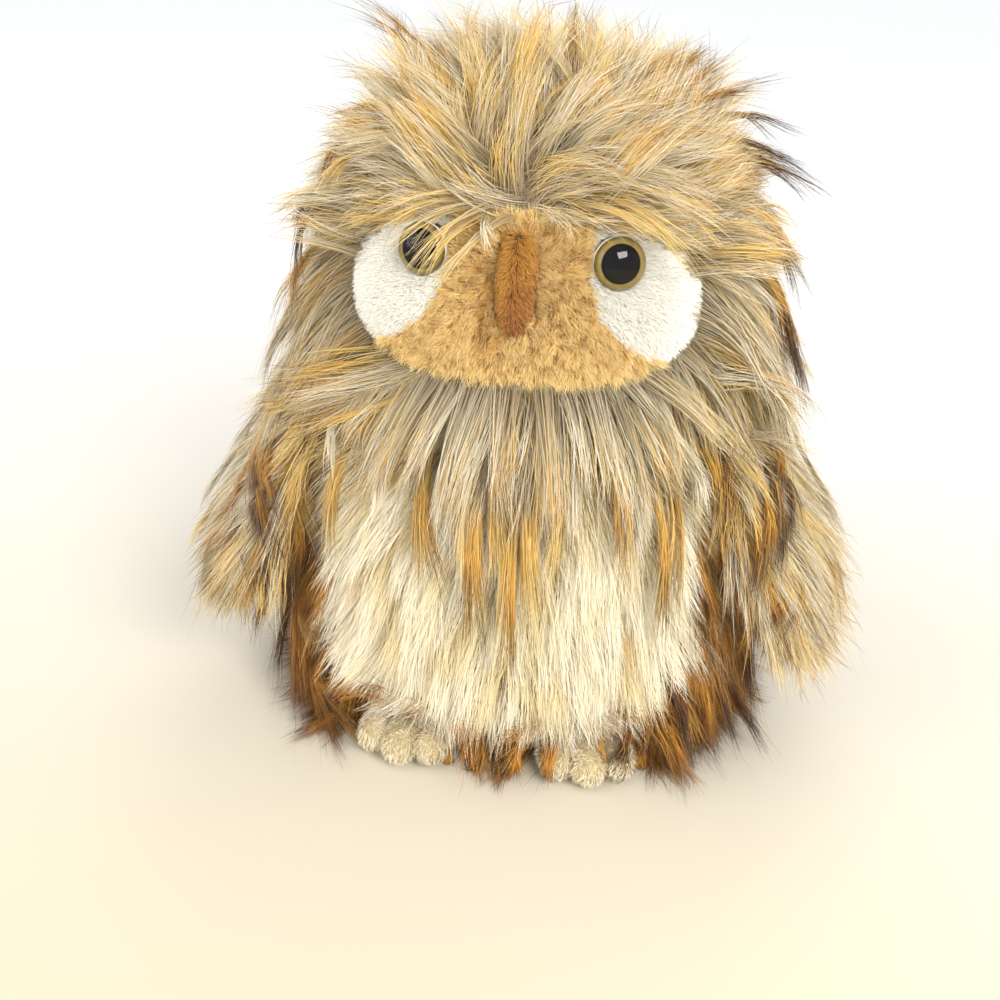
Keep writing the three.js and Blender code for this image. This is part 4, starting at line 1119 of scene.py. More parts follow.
wing_lock_pixels = {
    "right": [
        [246, 440, 192, 520, 0.2], [236, 470, 186, 560, 0.42], [240, 520, 205, 632, 0.3],
        [258, 550, 256, 640, 0.78], [246, 500, 196, 600, 0.2], [284, 398, 262, 540, 0.76],
        [278, 420, 250, 590, 0.8], [288, 440, 274, 570, 0.74], [276, 470, 258, 620, 0.92],
        [290, 470, 284, 600, 0.76], [270, 440, 240, 560, 0.72], [284, 500, 272, 620, 0.94],
        [292, 420, 280, 540, 0.78], [282, 450, 266, 560, 0.92],
    ],
    "left": [
        [796, 440, 842, 560, 0.3], [806, 500, 840, 640, 0.72], [800, 540, 832, 632, 0.4],
        [786, 560, 782, 640, 0.7], [776, 560, 762, 640, 0.8], [750, 440, 772, 560, 0.92],
        [758, 460, 782, 590, 0.94], [744, 450, 762, 600, 0.78], [765, 450, 790, 560, 0.92],
        [740, 480, 752, 620, 0.8], [752, 420, 776, 520, 0.76],
    ],
}


def on_side(hair, side):
    """The hairs rooted on a side of the toy."""
    return only(hair, (hair[0][:, 0, 0] >= 0) == (side == "left"))


def main_locks(locks, hairs, radius, tones, guard, guard_share):
    """The hairs of main locks, each small lock in one of the tones."""
    lines, out = locks
    return spread(lines, out, rng.choice(tones, len(lines)), hairs, radius, guard, guard_share, tight=0.8)


def past_window(at, comb, out):
    """The comb turned so that hair beside the face's window runs round it and not over it. It reaches from
    2.3 times the window's half size in to 1.3, and as far back as the front of the head."""
    slope = np.stack([window_level(at + step) - window_level(at - step) for step in np.diag([MM, 0, MM])], -1)
    inward = unit(across(-slope @ head.frame[:3, :3].T, out))
    near = ease(2.3, 1.3, window_level(at)) * ease(0, -30 * MM, at[:, 1])
    into = np.maximum((comb * inward).sum(1), 0) * near
    return unit(comb - 0.9 * inward * into[:, None])


WINDOW_CORE = 0.78  # of the face window's half size: long hair stays out of this middle part
WING_REACH, WING_RISE = 20 * MM, 4 * MM  # hair this near a wing, and no higher over its seam, hangs on it
BEND_RISE, BEND_FALL = 6 * MM, 34 * MM  # where such hair would bend, from over the seam to below it


def over_face(path):
    """Which hairs reach more than a few millimetres into the face's window."""
    at = head.local(path.reshape(-1, 3))
    return ((window_level(at) < WINDOW_CORE) & (at[:, 1] < 0)).reshape(path.shape[:2]).any(1)


def over_wing(side, path):
    """Which hairs hang over the top of a wing, and would have to lift with it."""
    gap = wing_coats[side].lift(path.reshape(-1, 3))[0].reshape(path.shape[:2])
    return ((gap < WING_REACH) & (path[..., 2] < BODY_HEIGHT - WING_DROP + WING_RISE)).any(1)


def wing_bend(side):
    """The bodies and the points, from over the wing's seam to down its top, between which hair would bend
    from the body to a raised wing.
    """
    axes = np.array(wing_frame(side))
    seam, down = axes[:3, 3], -axes[:3, 2]
    return "root", f"{side}_wing", tuple(seam - down * BEND_RISE), tuple(seam + down * BEND_FALL)


def head_fur():
    """The long pile of the crown, the cheeks, the back of the head and the ruff. The numbers are
    millimetres in the head's frame, radians and shares."""
    roots, out = head.scatter(HEAD_LOCKS)
    at = head.local(roots)
    kept = (window_level(at, -0.5 * MM) > 1) & (body.lift(roots)[0] > 1 * MM)
    roots, out, at = roots[kept], out[kept], at[kept]
    x, y, z = (at / MM).T
    total = len(roots)

    # The pile parts on the brow and runs away from there; below the eyes it runs away from the beak
    source_depth, source_brow, source_beak = -70.0, 33, -22
    upper = ease(-8, 16, z)
    wander = drift(roots, 22 * MM, seed=7)
    source = np.stack([3 + 11 * wander, np.full(total, source_depth),
                       (source_brow + 5 * wander) * upper + source_beak * (1 - upper)], -1) * MM
    comb = unit(across(head.world(at) - head.world(source), out))
    front = ease(10, -40, y)
    hang = (0.45 - 0.2 * front + 0.35 * ease(35, 65, np.abs(x))) * ease(60, 20, z)
    comb = unit(across(comb + DOWN * hang[:, None], out))
    top = ease(28, 62, z)
    comb = turned_in_surface(comb, out, (0.4 + 0.3 * top) * drift(roots, 36 * MM, seed=3)
                             + 0.3 * drift(roots, 13 * MM, seed=4) + rng.normal(0, 0.15, total))
    comb = past_window(at, comb, out)
    brow = front * ease(40, 27, z) * upper
    cheek = front * (1 - upper)
    side = ease(45, 75, np.abs(x)) * ease(35, -5, z)
    length = 46 + 12 * top + 20 * cheek + 30 * side - 16 * brow + rng.normal(0, 4, total)
    lift = np.radians(38 + 14 * top - 4 * cheek - 8 * brow) + rng.normal(0, 0.14, total)
    loft = rng.uniform(0.3, 1.1, total) * (14 + 4 * top - 4 * brow + 4 * side) * MM
    droop = 13 - 4 * top - 3 * cheek + 14 * side + 8 * ease(55, 85, np.abs(x)) * ease(75, 45, z)
    curl = (0.9 * drift(roots, 48 * MM, seed=8) + rng.normal(0, 0.3, total)) * (0.4 + 0.6 * upper)
    lines = lay(roots, out, comb, length * MM, lift, loft, droop, pull=18, around=[head, body], curl=curl)

    # Its dyes: golden over the top, grey on the cheeks and sides, with amber and black guard hairs
    gold = np.clip(0.5 + 0.7 * drift(roots, 44 * MM, seed=5), 0, 1)
    back = ease(0, 45, y)
    low_grey = np.clip(cheek + side, 0, 1)
    under = dyes(mix_of((1 - 0.9 * top * gold, [0.35, 0.45, 0.2]), (top * gold, [0.1, 0.1, 0.8]),
                        (low_grey, [1.2, 0.5, 0.1]), (2 * brow, [0.1, 0.9, 0.2]),
                        (1.4 * cheek * ease(10, -40, x), [0, 0.3, 0.9]),
                        (2 * cheek * ease(15, 50, x), [1, 0, 0]),
                        (2 * side * ease(-20, -60, x), [0.8, 0, 0.4])), TAUPE_DYES[:4], roots, seed=31)
    guard = dyes(mix_of((np.ones(total), [0.35, 0.6, 0.05]), (back + side, [0.1, 0.5, 0.3])),
                 TAUPE_DYES[2:], roots, seed=36)
    guard_share = 0.1 + 0.22 * top * gold + 0.06 * cheek + 0.1 * side + 0.12 * back - 0.04 * brow
    ruff_top, ruff_front = -5, 0.2
    ruff = (front > ruff_front) & (z < ruff_top) & (np.abs(x) < RUFF_HALF_WIDTH / MM)

    # The locks that stand out: the main ones, as the solids have them, and the ones set singly
    crown_main = main_locks(crown_locks(), hairs=38, radius=5 * MM, tones=[0.1, 0.28, 0.48],
                            guard=0.66, guard_share=0.25)
    ruff_main = main_locks(ruff_locks(), hairs=38, radius=5 * MM, tones=[0.06, 0.12, 0.24, 0.3],
                           guard=0.66, guard_share=0.2)
    ruff_set = picked_locks(ruff_lock_pixels, [head, body], hairs=110, ride=23 * MM, bow=0.06, radius=5 * MM)
    shoulder_set = picked_locks(shoulder_lock_pixels, [head, *wings.values()], hairs=60, ride=12 * MM,
                                bow=0.12, radius=6 * MM, droop=0.2)
    crown_set = picked_locks(crown_lock_pixels, [head], hairs=80, ride=20 * MM, bow=0.15, radius=4.5 * MM,
                             droop=0.3)
    brow_set = picked_locks(brow_lock_pixels, [head], hairs=22, ride=17 * MM, bow=0.2, radius=3.5 * MM)
    around = [head, body, *wing_coats.values()]
    regions = (("ruff", ruff), ("left_crown", ~ruff & (x >= 0)), ("right_crown", ~ruff & (x < 0)))
    for name, chosen in regions:
        hair = spread(lines[chosen], out[chosen], under[chosen], hairs=42, radius=7 * MM,
                      guard=guard[chosen], guard_share=guard_share[chosen], dye_spread=0.08)
        if name == "ruff":
            hair = joined([hair, ruff_main, ruff_set])
        else:
            side = name.split("_")[0]
            hair = joined([hair, *(on_side(group, side) for group in (crown_main, crown_set, shoulder_set))])
            # Only the locks set on the brow may hang into the face
            hair = joined([only(hair, ~over_face(hair[0])), on_side(brow_set, side)])
            hanging = over_wing(side, hair[0])
            grow_fur(f"{side}_shoulder_fur", wing_bend(side), taupe_pile, only(hair, hanging),
                     f"{side}_crown_panel", around)
            hair = only(hair, ~hanging)
        grow_fur(f"{name}_fur", "root", taupe_pile, hair, f"{name}_panel", around)


# mm over the floor: the cream pile stops here and a band of brown goes on, and how much this rises sideways.
# The band is partly brown pile and partly painted shade, dark hair where the foot of the belly is in shadow
BELLY_HEM, HEM_RISE = 23, 16


def body_fur():
    """The cream belly and the brown flanks and back. The numbers are millimetres, radians and shares."""
    roots, out = body.scatter(BODY_LOCKS)
    foot_height = np.min([pod.lift(roots)[0] for pod in feet], 0)
    kept = (head.lift(roots)[0] > 2 * MM) & (foot_height > 1.5 * MM)
    roots, out = roots[kept], out[kept]
    x, y, z = (roots / MM).T
    total = len(roots)
    hem = BELLY_HEM + HEM_RISE * ease(25, 75, np.abs(x))
    belly = in_belly(roots, 6 * MM) & (z > hem)
    # The band below the hem: brown pile, and partly painted shade of the belly's foot
    band = in_belly(roots, -2 * MM) & (z <= hem)

    fan = ease(8, 60, np.abs(x)) * np.sign(x) * ease(20, -30, y)
    low = ease(45, 8, z)
    forward = ease(55, 85, np.abs(x)) * ease(30, -20, y)
    inward = np.where(belly, 0, 0.8) * low * forward * np.sign(x)
    comb = np.stack([np.where(belly, 0.42 - 0.3 * low, 0.12) * fan - inward,
                     -(0.25 + 0.6 * low) * forward, -np.ones(total)], -1)
    comb = unit(across(comb, out))
    comb = turned_in_surface(comb, out, 0.3 * drift(roots, 40 * MM, seed=11)
                             + 0.15 * drift(roots, 12 * MM, seed=12) + rng.normal(0, 0.12, total))
    length = np.where(belly, np.clip(1.1 * (z - hem) + 12, 15, 45), 50 - 12 * low) + rng.normal(0, 3.5, total)
    band_length = 22
    length = np.where(band, band_length, length)
    lift = np.radians(np.where(belly, 34, 40)) + 0.2 * low + rng.normal(0, 0.1, total)
    loft = rng.uniform(0.3, 1.1, total) * np.where(belly, 13, 16) * MM
    lines = lay(roots, out, comb, length * MM, lift, loft, droop=20, pull=18, around=[body, *feet])

    cream = dyes(np.tile([0.62, 0.36, 0.02], (total, 1)), CREAM_DYES, roots, seed=32)
    flank = ease(30, -30, y)
    brown = dyes(mix_of((flank, [0.3, 0.6, 0.1]), (1 - flank, [0.34, 0.36, 0.3]),
                        (0.5 * low, [0.1, 0.6, 0.3]), (2 * flank * low * ease(10, 50, x), [0.8, 0.6, 0])),
                 BROWN_DYES[:4], roots, seed=33)
    tips = dyes(mix_of((flank, [0.85, 0.05, 0.1]), (1 - flank, [0.6, 0.2, 0.2])), BROWN_DYES[1:], roots,
                seed=37)
    flank_set = picked_locks(flank_lock_pixels, [body], hairs=90, ride=19 * MM, bow=0.05, radius=6 * MM)
    hair = spread(lines[belly], out[belly], cream[belly], hairs=54, radius=7 * MM, dye_spread=0.1,
                  strays=0.001, tight=0.62, bunch=0.35)
    grow_fur("belly_fur", "root", cream_pile, hair, "belly_panel", [body, *feet])
    for side in SIDES:
        chosen = ~belly & ((x >= 0) == (side == "left"))
        hair = spread(lines[chosen], out[chosen], brown[chosen], hairs=38, radius=7 * MM,
                      guard=tips[chosen], guard_share=0.35, dye_spread=0.07)
        hair = joined([hair, on_side(flank_set, side)])
        grow_fur(f"{side}_back_fur", "root", brown_pile, hair, f"{side}_back_panel",
                 [body, *feet])


def wing_fur(side):
    """The long pile of a wing, outside and on its lining."""
    form = wings[side]
    roots, out = form.scatter(WING_LOCKS)
    at = form.local(roots)
    kept = (body_form(0).lift(roots)[0] > 0.5 * MM) & (head_form(0).lift(roots)[0] > -6 * MM)
    roots, out, at = roots[kept], out[kept], at[kept]
    total = len(roots)
    axes = form.frame[:3, :3]
    outer = at[:, 0] > 0
    low = ease(-40 * MM, -95 * MM, at[:, 2])
    shoulder = ease(-30 * MM, -8 * MM, at[:, 2])
    comb = np.tile(-axes[:, 2], (total, 1)) + 0.2 * axes[:, 1] * (at[:, 1:2] / WING_HALF_WIDTH)
    comb = unit(across(comb - axes[:, 0] * 0.3 * low[:, None], out))
    comb = turned_in_surface(comb, out, 0.22 * drift(roots, 35 * MM, seed=21) + rng.normal(0, 0.12, total))
    length = np.where(outer, 48, 32) - 26 * low - 10 * shoulder + rng.normal(0, 4, total)
    lift = np.radians(np.where(outer, 32, 16)) * (1 - 0.6 * shoulder) + rng.normal(0, 0.08, total)
    loft = rng.uniform(0.2, 1.1, total) * np.where(outer, 9, 3.5) * (1 - 0.4 * shoulder) * MM
    lines = lay(roots, out, comb, length * MM, lift, loft, droop=10 + 14 * shoulder, pull=16,
                around=[form, body_form(0)])
    # Towards the front edge the pile is more amber and dark: partly its dye, partly painted shade of the
    # hollow between the wing and the body
    near_edge = ease(*((0.1, -0.5) if side == "right" else (-0.3, -0.9)), at[:, 1] / WING_HALF_WIDTH)
    taupe = dyes(mix_of((np.ones(total), [0.6, 0.25, 0.15, 0, 0]),
                        (2 * near_edge, [0.2, 0.1, 0.2, 0.4, 0.1])), TAUPE_DYES, roots, seed=34)
    taupe_tips = dyes(np.tile([0.6, 0.36, 0.04], (total, 1)), TAUPE_DYES[2:], roots, seed=38)
    brown = dyes(np.tile([0.2, 0.36, 0.44], (total, 1)), BROWN_DYES[:4], roots, seed=35)
    brown_tips = dyes(np.tile([0.6, 0.2, 0.2], (total, 1)), BROWN_DYES[1:], roots, seed=39)
    wing_set = picked_locks(wing_lock_pixels[side], [form], hairs=80, ride=12 * MM, bow=0.05, radius=5 * MM)
    main = main_locks(wing_locks(side), hairs=40, radius=4.5 * MM, tones=[0.08, 0.12, 0.28],
                      guard=0.8, guard_share=0.15)
    sheets = (("outer", outer, "fur_taupe", taupe_pile, taupe, taupe_tips),
              ("lining", ~outer, "fur_brown", brown_pile, brown, brown_tips))
    for name, chosen, slot, finish, dye, tips in sheets:
        hair = spread(lines[chosen], out[chosen], dye[chosen], hairs=40, radius=6.5 * MM,
                      guard=tips[chosen], guard_share=0.12, dye_spread=0.07, shortest=0.45)
        if name == "outer":
            hair = joined([hair, main, wing_set])
        grow_fur(f"{side}_wing_{name}_fur", f"{side}_wing", finish, hair,
                 f"{side}_wing_{name}_panel", [form])


# Short plush of the face, the beak and the feet


def tufts_of(roots, tuft):
    """The number of the tuft that each root belongs to, for so many hairs in a tuft."""
    middles = roots[rng.choice(len(roots), max(1, len(roots) // tuft), replace=False)]
    tree = kdtree.KDTree(len(middles))
    for number, middle in enumerate(middles):
        tree.insert(middle, number)
    tree.balance()
    return np.array([tree.find(root)[1] for root in roots])


def nap(roots, out, comb, dye, length, lift, width, tuft=8, gather=0.0, wave=0.15, points=4, bend=0.5):
    """Short hairs that lean along the comb. Each tuft of them leans its own way and gathers to its middle.
    lift is the angle off the cloth, tuft how many are in one, wave how much they vary, bend how far they
    lie over towards their tips."""
    total = len(roots)
    lock = tufts_of(roots, tuft)
    tufts = lock.max() + 1
    turn = rng.normal(0, wave * 2, tufts)[lock] + rng.normal(0, wave, total)
    comb = turned_in_surface(comb, out, turn)
    lean = lift * np.exp(rng.normal(0, wave, tufts)[lock]) + rng.normal(0, 0.1, total)
    long = length * rng.uniform(0.75, 1.1, total)
    share = np.linspace(0, 1, points)[None, :, None]
    height = (np.sin(lean) * long)[:, None, None] * (share - 0.25 * bend * share ** 2)
    reach = (np.cos(lean) * long)[:, None, None] * ((1 - bend) * share + bend * share ** 2)
    path = roots[:, None] + out[:, None] * height + comb[:, None] * reach
    if gather:
        count = np.maximum(np.bincount(lock, minlength=tufts), 1)
        middle = np.stack([np.bincount(lock, path[:, -1, i], tufts) / count for i in range(3)], -1)[lock]
        close = np.linalg.norm(middle - path[:, -1], axis=1) < 3 * MM
        pull = np.where(close, gather, 0.0)[:, None, None] * share ** 1.5
        path = path + (middle - path[:, -1])[:, None] * pull
    facing = unit(out * 0.6 + rng.normal(0, 0.6, (total, 3)))
    return path, facing, width * rng.uniform(0.8, 1.2, total), np.clip(dye, 0, 1)


def puff(at):
    """How far the stuffing fills the face's cloth out under the eyes; at is in the head's frame."""
    x, z = at[..., 0] / MM, at[..., 2] / MM
    cheek = 3.2 * np.exp(-((np.abs(x) - 20) / 17) ** 2 - ((z + 20) / 12) ** 2)
    pillow = 1.2 * np.exp(-((np.abs(x) - 46) / 16) ** 2 - ((z + 8) / 16) ** 2)
    return (cheek + pillow) * MM


FACE_SPAN = math.radians(58)  # how far round the head the face window reaches, each way


def face_points(per_mm2):
    """Evenly spread places inside the face window, on the cloth: in the world, in the head's frame, and the
    way out."""
    span, high = FACE_SPAN, FACE_HALF_HEIGHT * 2
    count = int(per_mm2 * (2 * span * HEAD_HALF_WIDTH * high) / MM ** 2)
    x = (HEAD_HALF_WIDTH - LONG_PILE) * np.sin(rng.uniform(-span, span, count))
    z = rng.uniform(-1, 1, count) * FACE_HALF_HEIGHT - FACE_DROP
    at = np.stack([x, face_at(x, z, LONG_PILE - CLOTH), z], -1)
    at = at[window_level(at, 0.5 * MM) < 1]
    roots = head.world(at)
    out = head.lift(roots)[1]
    return roots + out * puff(at)[:, None], at, out


def off_eyes(roots, margin):
    """Which roots are clear of both eyes by a margin."""
    clear = np.ones(len(roots), bool)
    for side in SIDES:
        at = moved(roots, np.array(eye_frame(side).inverted()))
        clear &= np.hypot(at[:, 0], at[:, 2]) > EYE_RADIUS + margin
    return clear


def face_plush():
    """White plush round the eyes and honey plush round the beak, sewn into the window of the long pile."""
    roots, at, out = face_points(FACE_HAIRS_PER_MM2)
    kept = off_eyes(roots, 0.1 * MM) & (beak.lift(roots)[0] > -1 * MM)
    roots, at, out = roots[kept], at[kept], out[kept]
    edge = white_share(at)
    rim = window_level(at)
    x, z = at[:, 0], at[:, 2]
    fan = np.stack([x * 0.5, np.zeros(len(x)), z + FACE_DROP - 8 * MM], -1)
    comb = unit(across(fan @ head.frame[:3, :3].T, out) + across(np.tile(DOWN * 6 * MM, (len(x), 1)), out))
    rim_lean = ease(0.75, 1.0, rim)
    tufts = 0.5 * drift(roots, 5 * MM, seed=41) + 0.5 * drift(roots, 3.2 * MM, seed=42)
    # The honey plush is browner on the right of the beak: the middle dye and how much it varies; shade is the
    # strength of a painted shadow of the beak, in a band down its right side
    for side, middle_dye, mottle, shade in (("left", 0.58, 0.16, 0), ("right", 0.5, 0.24, 0.28)):
        chosen = (x >= 0) == (side == "left")
        white = chosen & (edge > 0)
        dye = 0.3 + 0.2 * tufts[white] + rng.normal(0, 0.1, white.sum())
        hair = nap(roots[white], out[white], comb[white], dye, length=3.6 * MM,
                   lift=np.radians(72) - 0.6 * rim_lean[white], width=0.27 * MM, wave=0.08)
        grow_fur(f"{side}_white_nap", "root", white_plush, hair, f"{side}_white_patch")
        tan = chosen & (edge <= 0.6 * MM)
        dye = middle_dye + mottle * tufts[tan] + rng.normal(0, 0.06, tan.sum())
        across_mm, up_mm = np.abs(x[tan]) / MM, z[tan] / MM
        # Painted shadow of the beak: a band beside it on its right, along its length, darkened by shade
        beside = ease(17, 11, across_mm) * ease(14, 2, up_mm) * ease(-30, -20, up_mm)
        dye = dye + shade * beside
        length = 4.8 + 1.1 * tufts[tan] + 1.6 * rim_lean[tan]
        lift = np.radians(64) - 0.5 * rim_lean[tan] + rng.normal(0, 0.16, tan.sum())
        hair = nap(roots[tan], out[tan], comb[tan], dye, length * MM, lift, width=0.2 * MM, tuft=60, wave=0.3,
                   points=5, bend=0.35)
        grow_fur(f"{side}_tan_nap", "root", tan_plush, hair, f"{side}_tan_patch")


beak = beak_form(BEAK_PILE)


def dress_beak():
    """Short plush combed down and out from a line down the middle of the beak, over its own stuffed cloth."""
    roots, out = beak.scatter(BEAK_HAIRS)
    at = beak.local(roots)
    shown = at[:, 1] < 0.35 * BEAK_DEPTH
    roots, out, at = roots[shown], out[shown], at[shown]
    away = np.sign(at[:, 0]) * ease(0, 2.5 * MM, np.abs(at[:, 0]))
    axes = beak.frame[:3, :3]
    comb = unit(across(-axes[:, 2] + axes[:, 0] * 0.9 * away[:, None], out))
    height = at[:, 2] / BEAK_LENGTH
    dye = 0.36 - 0.75 * height + 0.2 * np.exp(-(at[:, 0] / (1.2 * MM)) ** 2) + rng.normal(0, 0.08, len(at))
    dye = dye + 0.12 * away
    hair = nap(roots, out, comb, dye, length=3 * MM, lift=np.radians(40), width=0.28 * MM, tuft=9,
               gather=0.15, wave=0.12)
    grow_fur("beak_nap", "root", beak_plush, hair, "beak_cover")
    shell("beak_cloth", beak, chestnut_backing, "root", "plush_beak", "beak_cover", around=48, rows=48)
    filling("beak_filling", beak_form(BEAK_PILE + 1.3 * MM), "root", "beak_stuffing", around=40, rows=36)


def lumps(points, size, depth, sink, seed):
    """How far packed stuffing swells at each point. It falls short of its form by the sink."""
    return depth * (drift(points, size, seed) - sink)


def filling(name, form, carrier, node_name, around=96, rows=64, place=None):
    """Loose polyester packed into a closed lumpy body."""
    piece = shell(name, form, polyester_fill, carrier, "stuffing", node_name, around=around, rows=rows,
                  thick=0, shift=lambda points: lumps(points, 9 * MM, 0.5 * MM, sink=0.8, seed=51),
                  place=place)


def stuffing():
    """The fillings of the head, the body and the wings, the bag of pellets and the cloth under the toy."""
    inner_body = body_form(LONG_PILE + 0.3 * MM)

    def head_place(points):
        """The head's filling stops at the body's and leaves room for the eyes and their posts."""
        points = off_forms(points, [body_form(LONG_PILE - 0.3 * MM)], 0)
        for side in SIDES:
            eye = np.array(eye_frame(side))
            at = (points - eye[:3, 3]) @ eye[:3, :3]
            pit = (np.hypot(at[:, 0], at[:, 2]) < EYE_RADIUS + 0.6 * MM) & (at[:, 1] < POST_LENGTH)
            at[:, 1] = np.where(pit, POST_LENGTH + 1 * MM, at[:, 1])
            points = moved(at, eye)
        return points

    filling("head_filling", head_form(LONG_PILE + 0.3 * MM), "root", "head_stuffing",
            around=240, rows=200, place=head_place)

    # The body's filling has a pocket for the bag of pellets in its underside
    floor, middle = BASE_CLOTH + 0.3 * MM, BASE_CLOTH + 0.3 * MM + BAG_HEIGHT / 2
    around, room = 160, 0.6 * MM
    turns = np.arange(around) * 2 * math.pi / around
    pocket = [(np.cos(t) ** BAG_SHARE * (BAG_RADIUS + room), middle + math.sin(t) * (BAG_HEIGHT / 2 + room))
              for t in np.linspace(math.pi / 2, 0, 14)] + [(BAG_RADIUS + room, floor)]
    rows = [np.stack([r * np.cos(turns), r * np.sin(turns), np.full(around, z)], -1) for r, z in pocket]
    low_share = floor / inner_body.high
    outside = inner_body.at(*np.meshgrid(turns, np.linspace(low_share, 1, 90)))
    away = inner_body.lift(outside.reshape(-1, 3))[1].reshape(outside.shape)
    outside = outside + away * lumps(outside, 9 * MM, 0.5 * MM, sink=0.8, seed=52)[..., None]
    outside[..., 2] = np.maximum(outside[..., 2], floor)
    rows += [outside[0] * [0.985, 0.985, 1], *outside]
    quads = ring_quads(len(rows), around, inner_body.frame)
    packed = mesh_object("body_filling", np.concatenate(rows), quads, polyester_fill)
    merge_close(packed)
    settle(packed, "root", "body_stuffing")

    bag = Form(ball_shares(BAG_SHARE), floor, floor + BAG_HEIGHT, BAG_RADIUS, BAG_RADIUS, BAG_RADIUS)

    def creases(points):
        seam = np.exp(-((points[:, 2] - middle) / (0.8 * MM)) ** 2)
        return lumps(points, 7 * MM, 0.35 * MM, sink=0.9, seed=53) + 0.5 * MM * seam

    sack = shell("pellet_sack", bag, bag_cotton, "root", "bag_cloth", "pellet_bag", around=140, rows=60,
                 thick=0, shift=creases)

    share = body_shares[0][1]
    radii = [(r - LONG_PILE) * share - 0.3 * MM for r in (BODY_HALF_WIDTH, BODY_FRONT, BODY_BACK)]
    under = Form([[0, 0.985], [0.2, 1], [0.8, 1], [1, 0.985]], 0, BASE_CLOTH, *radii, BODY_CORNER_SHARE)
    shell("base_cloth", under, base_cotton, "root", "base_cloth", "base_panel", around=160, rows=8, thick=0)

    sheets = (("outer", 1, "fur_taupe", taupe_backing), ("lining", -1, "fur_brown", brown_backing))
    for side in SIDES:
        form, wing = wings[side], f"{side}_wing"
        for name, sign, slot, finish in sheets:
            shell(f"{wing}_{name}_backing", form, finish, wing, slot, f"{wing}_{name}_panel",
                  lambda p: form.local(p)[:, 0] * sign > -0.3 * MM, around=96, rows=80, thick=0.7 * MM)
        filling(f"{wing}_filling", wing_form(side, *WING_FILLING), wing, f"{wing}_stuffing")


def backings():
    """The knitted cloth that the pile is rooted in. Neighbours overlap by a little at their seams: all the
    lengths here are such overlaps."""
    def half(points, side, overlap):
        return points[:, 0] * (1 if side == "left" else -1) >= -overlap

    def over_body(points):
        return (window_level(head.local(points), 1 * MM) >= 1) & (body.lift(points)[0] > -3 * MM)

    def over_head(points):
        return head.lift(points)[0] > -3 * MM

    def in_face(points, side):
        inside = window_level(head.local(points), -0.5 * MM) < 1
        return half(points, side, 0.4 * MM) & inside & off_eyes(points, -1 * MM)

    for side in SIDES:
        shell(f"{side}_crown_backing", head, taupe_backing, "root", "fur_taupe", f"{side}_crown_panel",
              lambda p: over_body(p) & half(p, side, 1 * MM))
    shell("belly_backing", body, cream_backing, "root", "fur_cream", "belly_panel",
          lambda p: in_belly(p) & over_head(p))
    for side in SIDES:
        shell(f"{side}_back_backing", body, brown_backing, "root", "fur_brown", f"{side}_back_panel",
              lambda p: ~in_belly(p, 3 * MM) & over_head(p) & half(p, side, 1 * MM))
    fine = dict(around=420, rows=330, shift=lambda p: puff(head.local(p)))
    for side in SIDES:
        shell(f"{side}_white_backing", head, white_backing, "root", "plush_white", f"{side}_white_patch",
              lambda p: in_face(p, side) & (white_share(head.local(p)) > 0), **fine)
        shell(f"{side}_tan_backing", head, honey_backing, "root", "plush_tan", f"{side}_tan_patch",
              lambda p: in_face(p, side) & (white_share(head.local(p)) < 0.5 * MM), **fine)


def turned(name, profile, finish, axis, around=72):
    """A closed piece turned about the axis of a frame. profile is a list of [distance along it, radius]."""
    table = np.array(profile)
    turns = np.arange(around) * 2 * math.pi / around
    x, y = np.cos(turns)[None, :] * table[:, 1:], np.sin(turns)[None, :] * table[:, 1:]
    points = np.stack([x, y, np.repeat(table[:, :1], around, 1)], -1).reshape(-1, 3)
    matrix = np.array(axis)
    return mesh_object(name, moved(points, matrix), ring_quads(len(table), around, matrix), finish)


def map_disc(piece, into):
    """Gives the iris a map of its turn and its radius, which its rays and rings follow."""
    spot = moved(np.array([point.co[:] for point in piece.data.vertices]), into)
    round_share = np.arctan2(spot[:, 1], spot[:, 0]) / (2 * math.pi) + 0.5
    radius_share = np.hypot(spot[:, 0], spot[:, 1]) / EYE_RADIUS
    corner = np.empty(len(piece.data.loops), np.int32)
    piece.data.loops.foreach_get("vertex_index", corner)
    disc_map = np.stack([round_share, radius_share], -1)[corner]
    piece.data.uv_layers.new(name="disc").data.foreach_set("uv", disc_map.ravel())


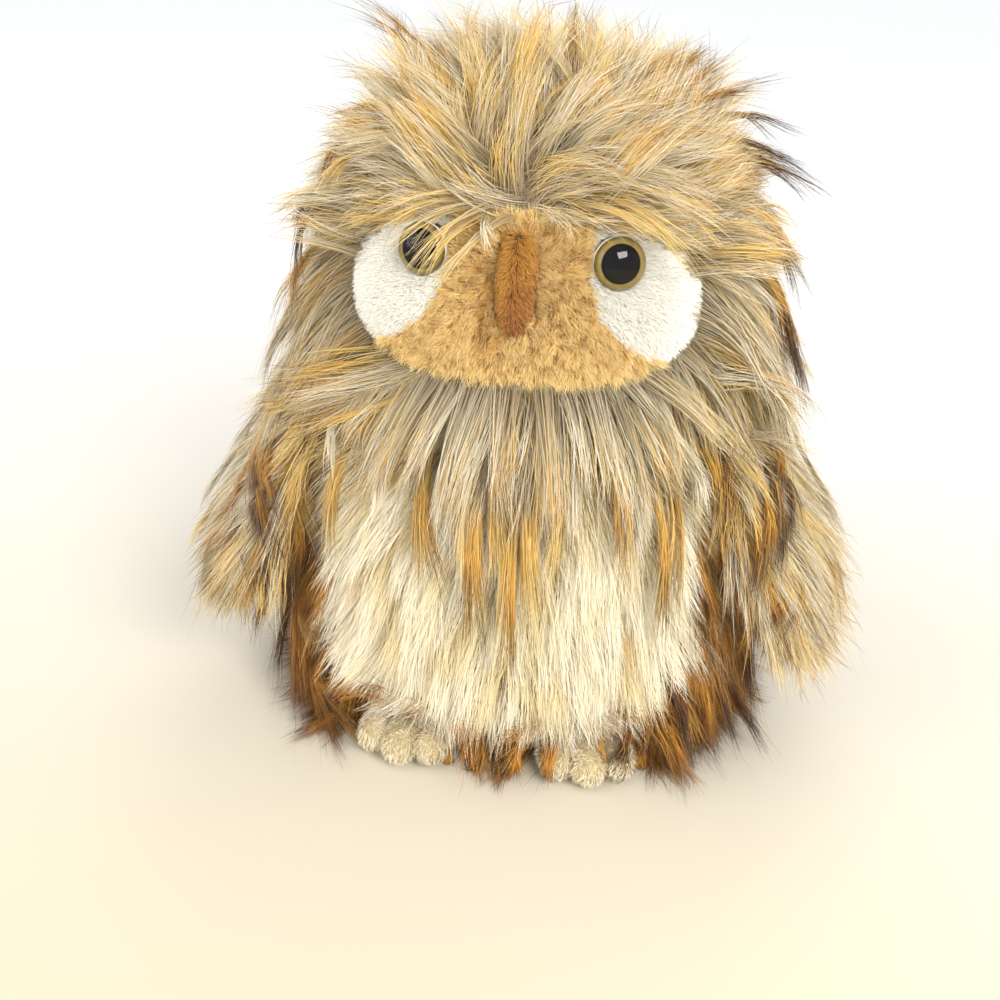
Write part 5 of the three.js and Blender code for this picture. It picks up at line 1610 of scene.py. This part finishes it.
def eyes():
    """Safety eyes: a clear dome over a gold ring and a raised black pupil, on a plate with a ridged post."""
    pupil_radius, pupil_rise, film = 6.4 * MM, 2.4 * MM, 0.05 * MM
    seat = EYE_PLATE + 0.3 * MM
    quarter = np.linspace(0, math.pi / 2, 20)
    dome = [[seat, 0], *([seat + math.sin(t) * EYE_DOME, math.cos(t) * EYE_RADIUS] for t in quarter)]
    ring = [[seat + film, 0], [seat + film, EYE_RADIUS - 4 * film],
            [seat + 2 * film, EYE_RADIUS - 4 * film], [seat + 2 * film, 0]]
    black = [[seat + 3 * film, 0],
             *([seat + 3 * film + math.sin(t) * pupil_rise, math.cos(t) * pupil_radius] for t in quarter)]
    ridges = []
    for i in range(3):
        at = -POST_LENGTH + (i + 1) * POST_PITCH
        ridges += [[at - POST_RIDGE, POST_RADIUS], [at, POST_RADIUS + POST_RIDGE],
                   [at + POST_RIDGE, POST_RADIUS]]
    plate = [[-POST_LENGTH, 0], [-POST_LENGTH, POST_RADIUS - POST_RIDGE], *ridges, [0, POST_RADIUS],
             [0, EYE_RADIUS - 0.2 * MM], [0.2 * MM, EYE_RADIUS], [EYE_PLATE - 0.2 * MM, EYE_RADIUS],
             [EYE_PLATE, EYE_RADIUS - 0.3 * MM], [EYE_PLATE, 0]]
    pieces = (("dome", dome, acrylic, "eye_clear", "lens"), ("iris", ring, iris_paint, "eye_paint", "plate"),
              ("pupil", black, pupil_paint, "eye_paint", "plate"),
              ("seat", plate, polyethylene, "eye_paint", "plate"))
    for side in SIDES:
        axis = eye_frame(side) @ frame_of(turn_x=math.pi / 2)
        for name, profile, finish, slot, node_name in pieces:
            piece = turned(f"{side}_eye_{name}", profile, finish, axis)
            if name == "iris":
                map_disc(piece, np.array(axis.inverted()))
            merge_close(piece, 0.01 * MM)
            settle(piece, "root", f"{side}_eye_{node_name}")
        washer = bpy.data.objects[f"{side}_eye_washer"]
        washer.data.materials.clear()
        washer.data.materials.append(polyethylene)


def foot(side):
    """Oatmeal cloth over a stuffed heel and toes, with a short nap."""
    pods = foot_pods(side, 1.6 * MM)
    cloth = merged(f"{side}_foot_cloth", pods, oatmeal_backing, 0.9 * MM)
    settle(cloth, "root", f"{side}_foot_cover")
    grown = []
    for pod in pods:
        roots, out = pod.scatter(TOE_HAIRS)
        others = [other for other in pods if other is not pod]
        free = np.min([other.lift(roots)[0] for other in others], 0) > 0.4 * MM
        kept = free & (roots[:, 2] > 2.5 * MM) & (body.lift(roots)[0] > 0)
        roots, out = roots[kept], out[kept]
        comb = unit(across(np.tile([0.0, -1.0, -0.3], (len(roots), 1)), out))
        grown.append(nap(roots, out, comb, rng.normal(0.4, 0.2, len(roots)), length=3.2 * MM,
                         lift=np.radians(42), width=0.34 * MM, wave=0.3))
    grow_fur(f"{side}_foot_nap", "root", foot_plush, joined(grown), f"{side}_foot_cover")
    packed = merged(f"{side}_foot_filling", foot_pods(side, 3.2 * MM), polyester_fill, 1.2 * MM)
    settle(packed, "root", f"{side}_foot_stuffing")


def merged(name, forms, finish, voxel):
    """One closed skin round forms that run into each other."""
    skins = [form.skin(40, 36) for form in forms]
    faces = [quads + i * len(points) for i, (points, quads) in enumerate(skins)]
    piece = mesh_object(name, np.concatenate([points for points, _ in skins]), np.concatenate(faces), finish)
    merge_close(piece)
    skin = piece.modifiers.new("skin", "REMESH")
    skin.mode, skin.voxel_size, skin.use_smooth_shade = "VOXEL", voxel, True
    return piece


head_fur()
body_fur()
for side in SIDES:
    wing_fur(side)
backings()
face_plush()
dress_beak()
stuffing()
eyes()
for side in SIDES:
    foot(side)
